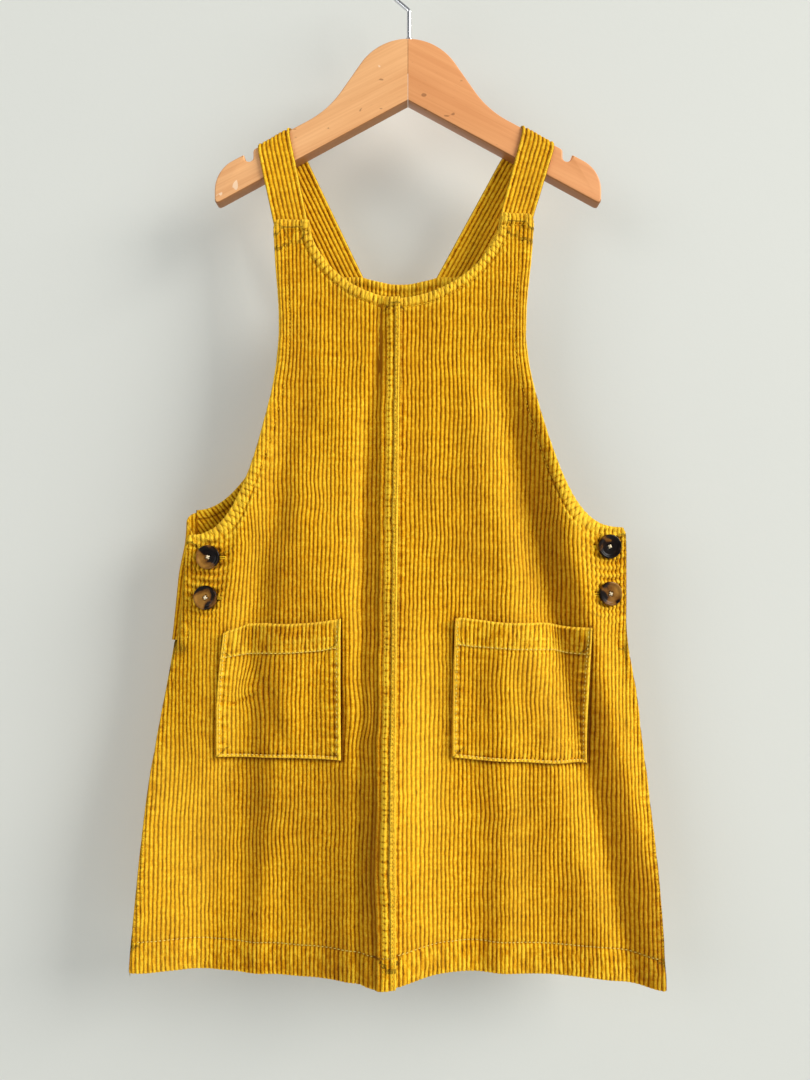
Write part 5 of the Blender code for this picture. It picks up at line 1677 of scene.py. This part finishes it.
def corduroy(name):
    # ribs: painted shade in the furrow, full on the flank, paler on the top, which is worn and has a
    # painted highlight; nap noise over all, short puckers along every seam and puffs between its
    # stitches, both painted lighter and darker with their height
    k = Kit(name)
    wale, run, wearAndShading, face, zone = (k.attribute(n)
        for n in ("waleAt", "runAt", "wearAt", "faceAt", "zoneAt"))
    along, far, knot = (k.attribute(n) for n in ("alongAt", "farAt", "knotAt"))
    path = k.vector(wale * 0.9, run * 190.0, 0.0)
    wale = wale + (k.noise(path, 1.0, 2.0, 0.6) - 0.5) * 0.44
    shut = k.vector(wale * 0.45, run * 75.0, 3.0)
    shut = k.noise(shut, 1.0, 2.0, 0.6).between(0.30, 0.70)
    hump = abs((wale * math.pi).sine()) ** 0.66
    hump = 1.0 - (1.0 - hump) * face * (0.76 + 0.34 * shut)
    pile = k.vector(wale * 1.3, run * 420.0, 0.0)
    fine = k.noise(pile, 2.6, 3.0, 0.7)
    fleck = k.noise(pile, 0.8, 2.0, 0.6)
    place = k.objectPlace()
    patch = k.noise(place, 30.0, 3.0, 0.6)
    broad = k.noise(k.objectPlace(stretch=(1.0, 1.0, 0.35)), 26.0, 2.0, 0.5)
    grain = k.noise(place, 2600.0, 2.0, 0.6)
    cross = k.noise(k.objectPlace(stretch=(0.22, 1.0, 1.5)), 210.0, 2.0, 0.6)
    seamPath = k.vector(along * 250.0, far * 75.0, 0.0)
    gather = k.noise(seamPath, 1.0, 2.0, 0.55).between(0.32, 0.68)
    jitter = k.noise(seamPath, 0.30, 2.0, 0.5)
    beat = abs((along * (math.pi / 0.0046) + jitter * 4.0).sine()) ** 0.75
    puff = knot * beat
    level = hump * 0.90 + (fine - 0.5) * 0.66 + (fleck - 0.5) * 0.56 + (cross - 0.5) * 0.34
    level = (level + zone * (gather - 0.45) * 0.34 + (puff - knot * 0.36) * 0.80).limited()
    stops = ((0.08, "furrowShade"), (0.42, "flank"), (0.76, "top"), (1.0, "bright"))
    ribs = k.ramp(level, [(at, cordColours[key]) for at, key in stops])
    inside = cordColours["inside"]
    flat = k.colour(grain.between(0.3, 0.7), times(0.85, inside), times(1.1, inside))
    both = k.colour(face, flat, ribs)
    # pale where worn, and painted highlight where the wear value holds light on folds, edges and puffs
    paleWearAndHighlight = (wearAndShading * (0.45 + 0.75 * fine + 0.3 * gather) * (0.65 + 0.35 * hump)
        + puff * (0.30 + 0.8 * fine)).limited()
    both = k.colour(paleWearAndHighlight * 0.80, both, cordColours["worn"])
    # painted shade where the wear value is below zero
    both = k.colour((0.0 - wearAndShading).limited() * 0.80, both, times(1.3, cordColours["furrowShade"]))
    shade = (patch.between(0.25, 0.75) * 0.12 + broad.between(0.30, 0.70) * 0.20 + 0.82).limited()
    tint = k.vector(shade, shade ** 1.25, shade)
    both = k.colour(1.0, both, tint, "MULTIPLY")
    k.set(colour=both, rough=0.84 + 0.1 * fine, sheen=0.06, sheenRough=0.45,
        sheenTint=(1.0, 0.78, 0.25, 1.0), gloss=0.10)
    height = hump * 0.50 + fine * 0.28 + fleck * 0.18 + grain * 0.06 + cross * 0.24
    height = height + zone * gather * 0.85 + puff * 0.80
    k.bump(height, 0.00085, 1.0)
    return k.material


def threadMaterial(name, colour):
    k = Kit(name)
    twist = k.noise(k.objectPlace(), 1900.0, 2.0, 0.6)
    k.set(colour=k.colour(twist, times(0.7, colour), times(1.15, colour)), rough=0.75, gloss=0.10)
    k.bump(twist, 0.0002, 0.6)
    return k.material


def woodMaterial(name, side, light, dark):
    # long straight grain that follows the arm, short fine pores, small marks, and painted shade on the
    # underside
    k = Kit(name)
    angle = math.radians(27.0) * (1.0 if side == "left" else -1.0)
    long = k.objectPlace(turn=(0.0, angle, 0.0))

    def stretched(x, y, z):
        return k.add("ShaderNodeVectorMath", {"operation": "MULTIPLY"}, {0: long, 1: (x, y, z)}).outputs[0]

    bands = k.noise(stretched(5.0, 60.0, 120.0), 1.0, 3.0, 0.55)
    lines = k.noise(stretched(9.0, 200.0, 620.0), 1.0, 3.0, 0.6)
    pores = k.noise(stretched(160.0, 700.0, 1500.0), 1.0, 2.0, 0.5)
    cloudy = k.noise(k.objectPlace(), 26.0, 2.0, 0.5)
    share = (bands.between(0.3, 0.7) * 0.45 + lines.between(0.35, 0.65) * 0.30 + cloudy * 0.25).limited()
    colour = k.colour(share, dark, light)
    colour = k.colour(pores.between(0.66, 0.80) * 0.30, colour, times(0.55, dark))
    marks = k.noise(k.objectPlace(stretch=(1.0, 1.0, 1.6)), 120.0, 1.0, 0.4)
    colour = k.colour(marks.between(0.745, 0.775) * 0.55, colour, (0.16, 0.06, 0.02))
    pale = k.noise(k.objectPlace(stretch=(1.3, 1.0, 1.0)), 95.0, 1.0, 0.4, 0.4)
    colour = k.colour(pale.between(0.765, 0.79) * 0.7, colour, (0.95, 0.72, 0.50))
    # painted shade along the arm's underside
    below = k.attribute("underAt").between(0.3, 0.8)
    colour = k.colour(below * 0.80, colour, (0.230, 0.085, 0.020))
    k.set(colour=colour, rough=0.44 + 0.12 * lines, gloss=0.35, coat=0.10, coatRough=0.35)
    k.bump(lines * 0.4 + pores * 0.5, 0.00012, 0.35)
    return k.material


def steelMaterial():
    k = Kit("steel")
    brushed = k.noise(k.objectPlace(stretch=(1.0, 1.0, 0.15)), 900.0, 2.0, 0.5)
    k.set(colour=k.colour(brushed, (0.66, 0.67, 0.69), (0.86, 0.87, 0.89)), metal=1.0,
        rough=0.18 + 0.10 * brushed)
    return k.material


def hornMaterial():
    # dark brown with amber clouds, different on every button
    k = Kit("horn")
    tone = k.attribute("toneAt")
    place, shift = k.objectPlace(), k.vector(tone * 1.7, tone * 0.9, tone * 2.3)
    place = k.add("ShaderNodeVectorMath", {"operation": "ADD"}, {0: place, 1: shift}).outputs[0]
    clouds = k.noise(place, 72.0, 1.5, 0.45, 0.6)
    veins = k.noise(place, 420.0, 2.0, 0.6, 2.0)
    colour = k.ramp((clouds + (veins - 0.5) * 0.14).limited(), (
        (0.42, (0.004, 0.0015, 0.001)), (0.49, (0.014, 0.005, 0.002)),
        (0.53, (0.130, 0.048, 0.006)), (0.68, (0.300, 0.140, 0.024)),
    ))
    k.set(colour=colour, rough=0.30 + 0.05 * veins, gloss=0.12, coat=0.07, coatRough=0.05)
    return k.material


def wallMaterial():
    # matt paint that also glows a little, a painted light that lifts the shadows cast on it; it isn't there
    # when looked at from behind
    k = Kit("glowingWallPaint")
    uneven = k.noise(k.objectPlace(), 1.6, 3.0, 0.5)
    fine = k.noise(k.objectPlace(), 260.0, 2.0, 0.5)
    paint = k.colour(uneven, (0.655, 0.672, 0.632), (0.690, 0.704, 0.664))
    k.set(colour=k.colour(1.0, paint, (0.76, 0.76, 0.76), "MULTIPLY"), rough=0.9, gloss=0.10, glow=paint,
        glowStrength=0.23)
    k.bump(fine, 0.0002, 0.25)
    behind = k.add("ShaderNodeNewGeometry", {}, {}).outputs["Backfacing"]
    clear = k.add("ShaderNodeBsdfTransparent", {}, {}).outputs[0]
    mixed = k.add("ShaderNodeMixShader", {}, {0: behind, 1: k.shader.outputs[0], 2: clear})
    k.links.new(mixed.outputs[0], k.output.inputs["Surface"])
    return k.material


def floorMaterial():
    k = Kit("paleFloor")
    uneven = k.noise(k.objectPlace(), 3.0, 3.0, 0.5)
    k.set(colour=k.colour(uneven, (0.66, 0.67, 0.65), (0.72, 0.73, 0.71)), rough=0.8, gloss=0.2)
    return k.material


def dress(piece, material, slot, *nodes):
    piece.data.materials.append(material)
    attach(piece, "root")
    if nodes:
        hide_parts(*nodes)


cord = corduroy("corduroy")
thread = threadMaterial("mustardThread", (0.93, 0.54, 0.024))
hemThread = threadMaterial("hemThread", (0.98, 0.70, 0.16))
paleThread = threadMaterial("paleThread", (0.86, 0.72, 0.48))
for side in signs:
    dress(fronts[side], cord, "cloth", "front_" + side)
dress(back, cord, "cloth", "back")
for side in signs:
    dress(pocketPieces[side], cord, "cloth", "pocket_" + side)
    dress(strapPieces[side], cord, "cloth", "strap_" + side)
    dress(facings[side], cord, "cloth", "armhole_facing_" + side)
    dress(stands[side], cord, "cloth", "button_stand_" + side)
dress(facingNeck, cord, "cloth", "back_neck_facing")
for piece in stitching.values():
    dress(piece, thread, "cloth")
for piece in brightStitching:
    dress(piece, hemThread, "cloth")
horn = hornMaterial()
for number, (piece, cross, hole) in enumerate(zip(buttonPieces, threadPieces, holePieces), 1):
    dress(piece, horn, "button", "button_%d" % number)
    dress(cross, paleThread, "button")
    dress(hole, thread, "cloth")
woodTones = {
    "left": ((0.870, 0.480, 0.215), (0.680, 0.310, 0.115)),
    "right": ((0.790, 0.365, 0.145), (0.650, 0.262, 0.092)),
}
for side, tones in woodTones.items():
    wood = woodMaterial("wood" + side.capitalize(), side, *tones)
    dress(hangerArms[side], wood, "wood", "hanger_" + side)
steel = steelMaterial()
dress(hookWire, steel, "steel", "hook")
dress(hookCollar, steel, "steel", "hook_collar")
print("materials made")

stage = {"wallY": 0.050, "floorZ": -1.28, "wide": 2.2, "high": 1.5, "deep": 3.0}


def stagePiece(name, corners, material):
    mesh = bpy.data.meshes.new(name)
    mesh.from_pydata(corners, [], [(0, 1, 2, 3)])
    mesh.materials.append(material)
    obj = bpy.data.objects.new(name, mesh)
    bpy.context.scene.collection.objects.link(obj)
    return obj


w, h, y, f, d = stage["wide"], stage["high"], stage["wallY"], stage["floorZ"], stage["deep"]
wall = stagePiece("wall", [(-w, y, f), (w, y, f), (w, y, h), (-w, y, h)], wallMaterial())
wall.visible_shadow = False
wall.visible_diffuse = False
floor = stagePiece("floor", [(-w * 2, -d, f), (w * 2, -d, f), (w * 2, d, f), (-w * 2, d, f)],
    floorMaterial())

lights = {
    "key": {"place": (3.80, -2.10, 1.60), "size": 2.5, "power": 290.0, "colour": (1.0, 0.985, 0.955)},
    "fill": {"place": (-1.9, -1.8, 0.3), "size": 1.6, "power": 23.0, "colour": (0.985, 0.99, 1.0)},
    "rear": {"place": (-0.6, 2.0, 0.4), "size": 1.4, "power": 30.0, "colour": (1.0, 1.0, 1.0)},
    "world": {"colour": (0.95, 0.97, 1.0), "strength": 0.22},
}
for name in ("key", "fill", "rear"):
    row = lights[name]
    data = bpy.data.lights.new(name, "AREA")
    data.energy, data.size, data.color = row["power"], row["size"], row["colour"]
    lamp = bpy.data.objects.new(name, data)
    bpy.context.scene.collection.objects.link(lamp)
    lamp.location = row["place"]
    aim = np.array((0.0, 0.0, -0.42)) - np.array(row["place"])
    tilt = math.pi / 2 + math.atan2(aim[2], math.hypot(aim[0], aim[1]))
    lamp.rotation_euler = (tilt, 0.0, math.atan2(-aim[0], aim[1]))
world = bpy.data.worlds.new("softRoom")
world.use_nodes = True
sky = world.node_tree.nodes["Background"].inputs
sky["Color"].default_value = (*lights["world"]["colour"], 1.0)
sky["Strength"].default_value = lights["world"]["strength"]
bpy.context.scene.world = world
bpy.context.scene.view_settings.view_transform = "Standard"
print("stage ready")
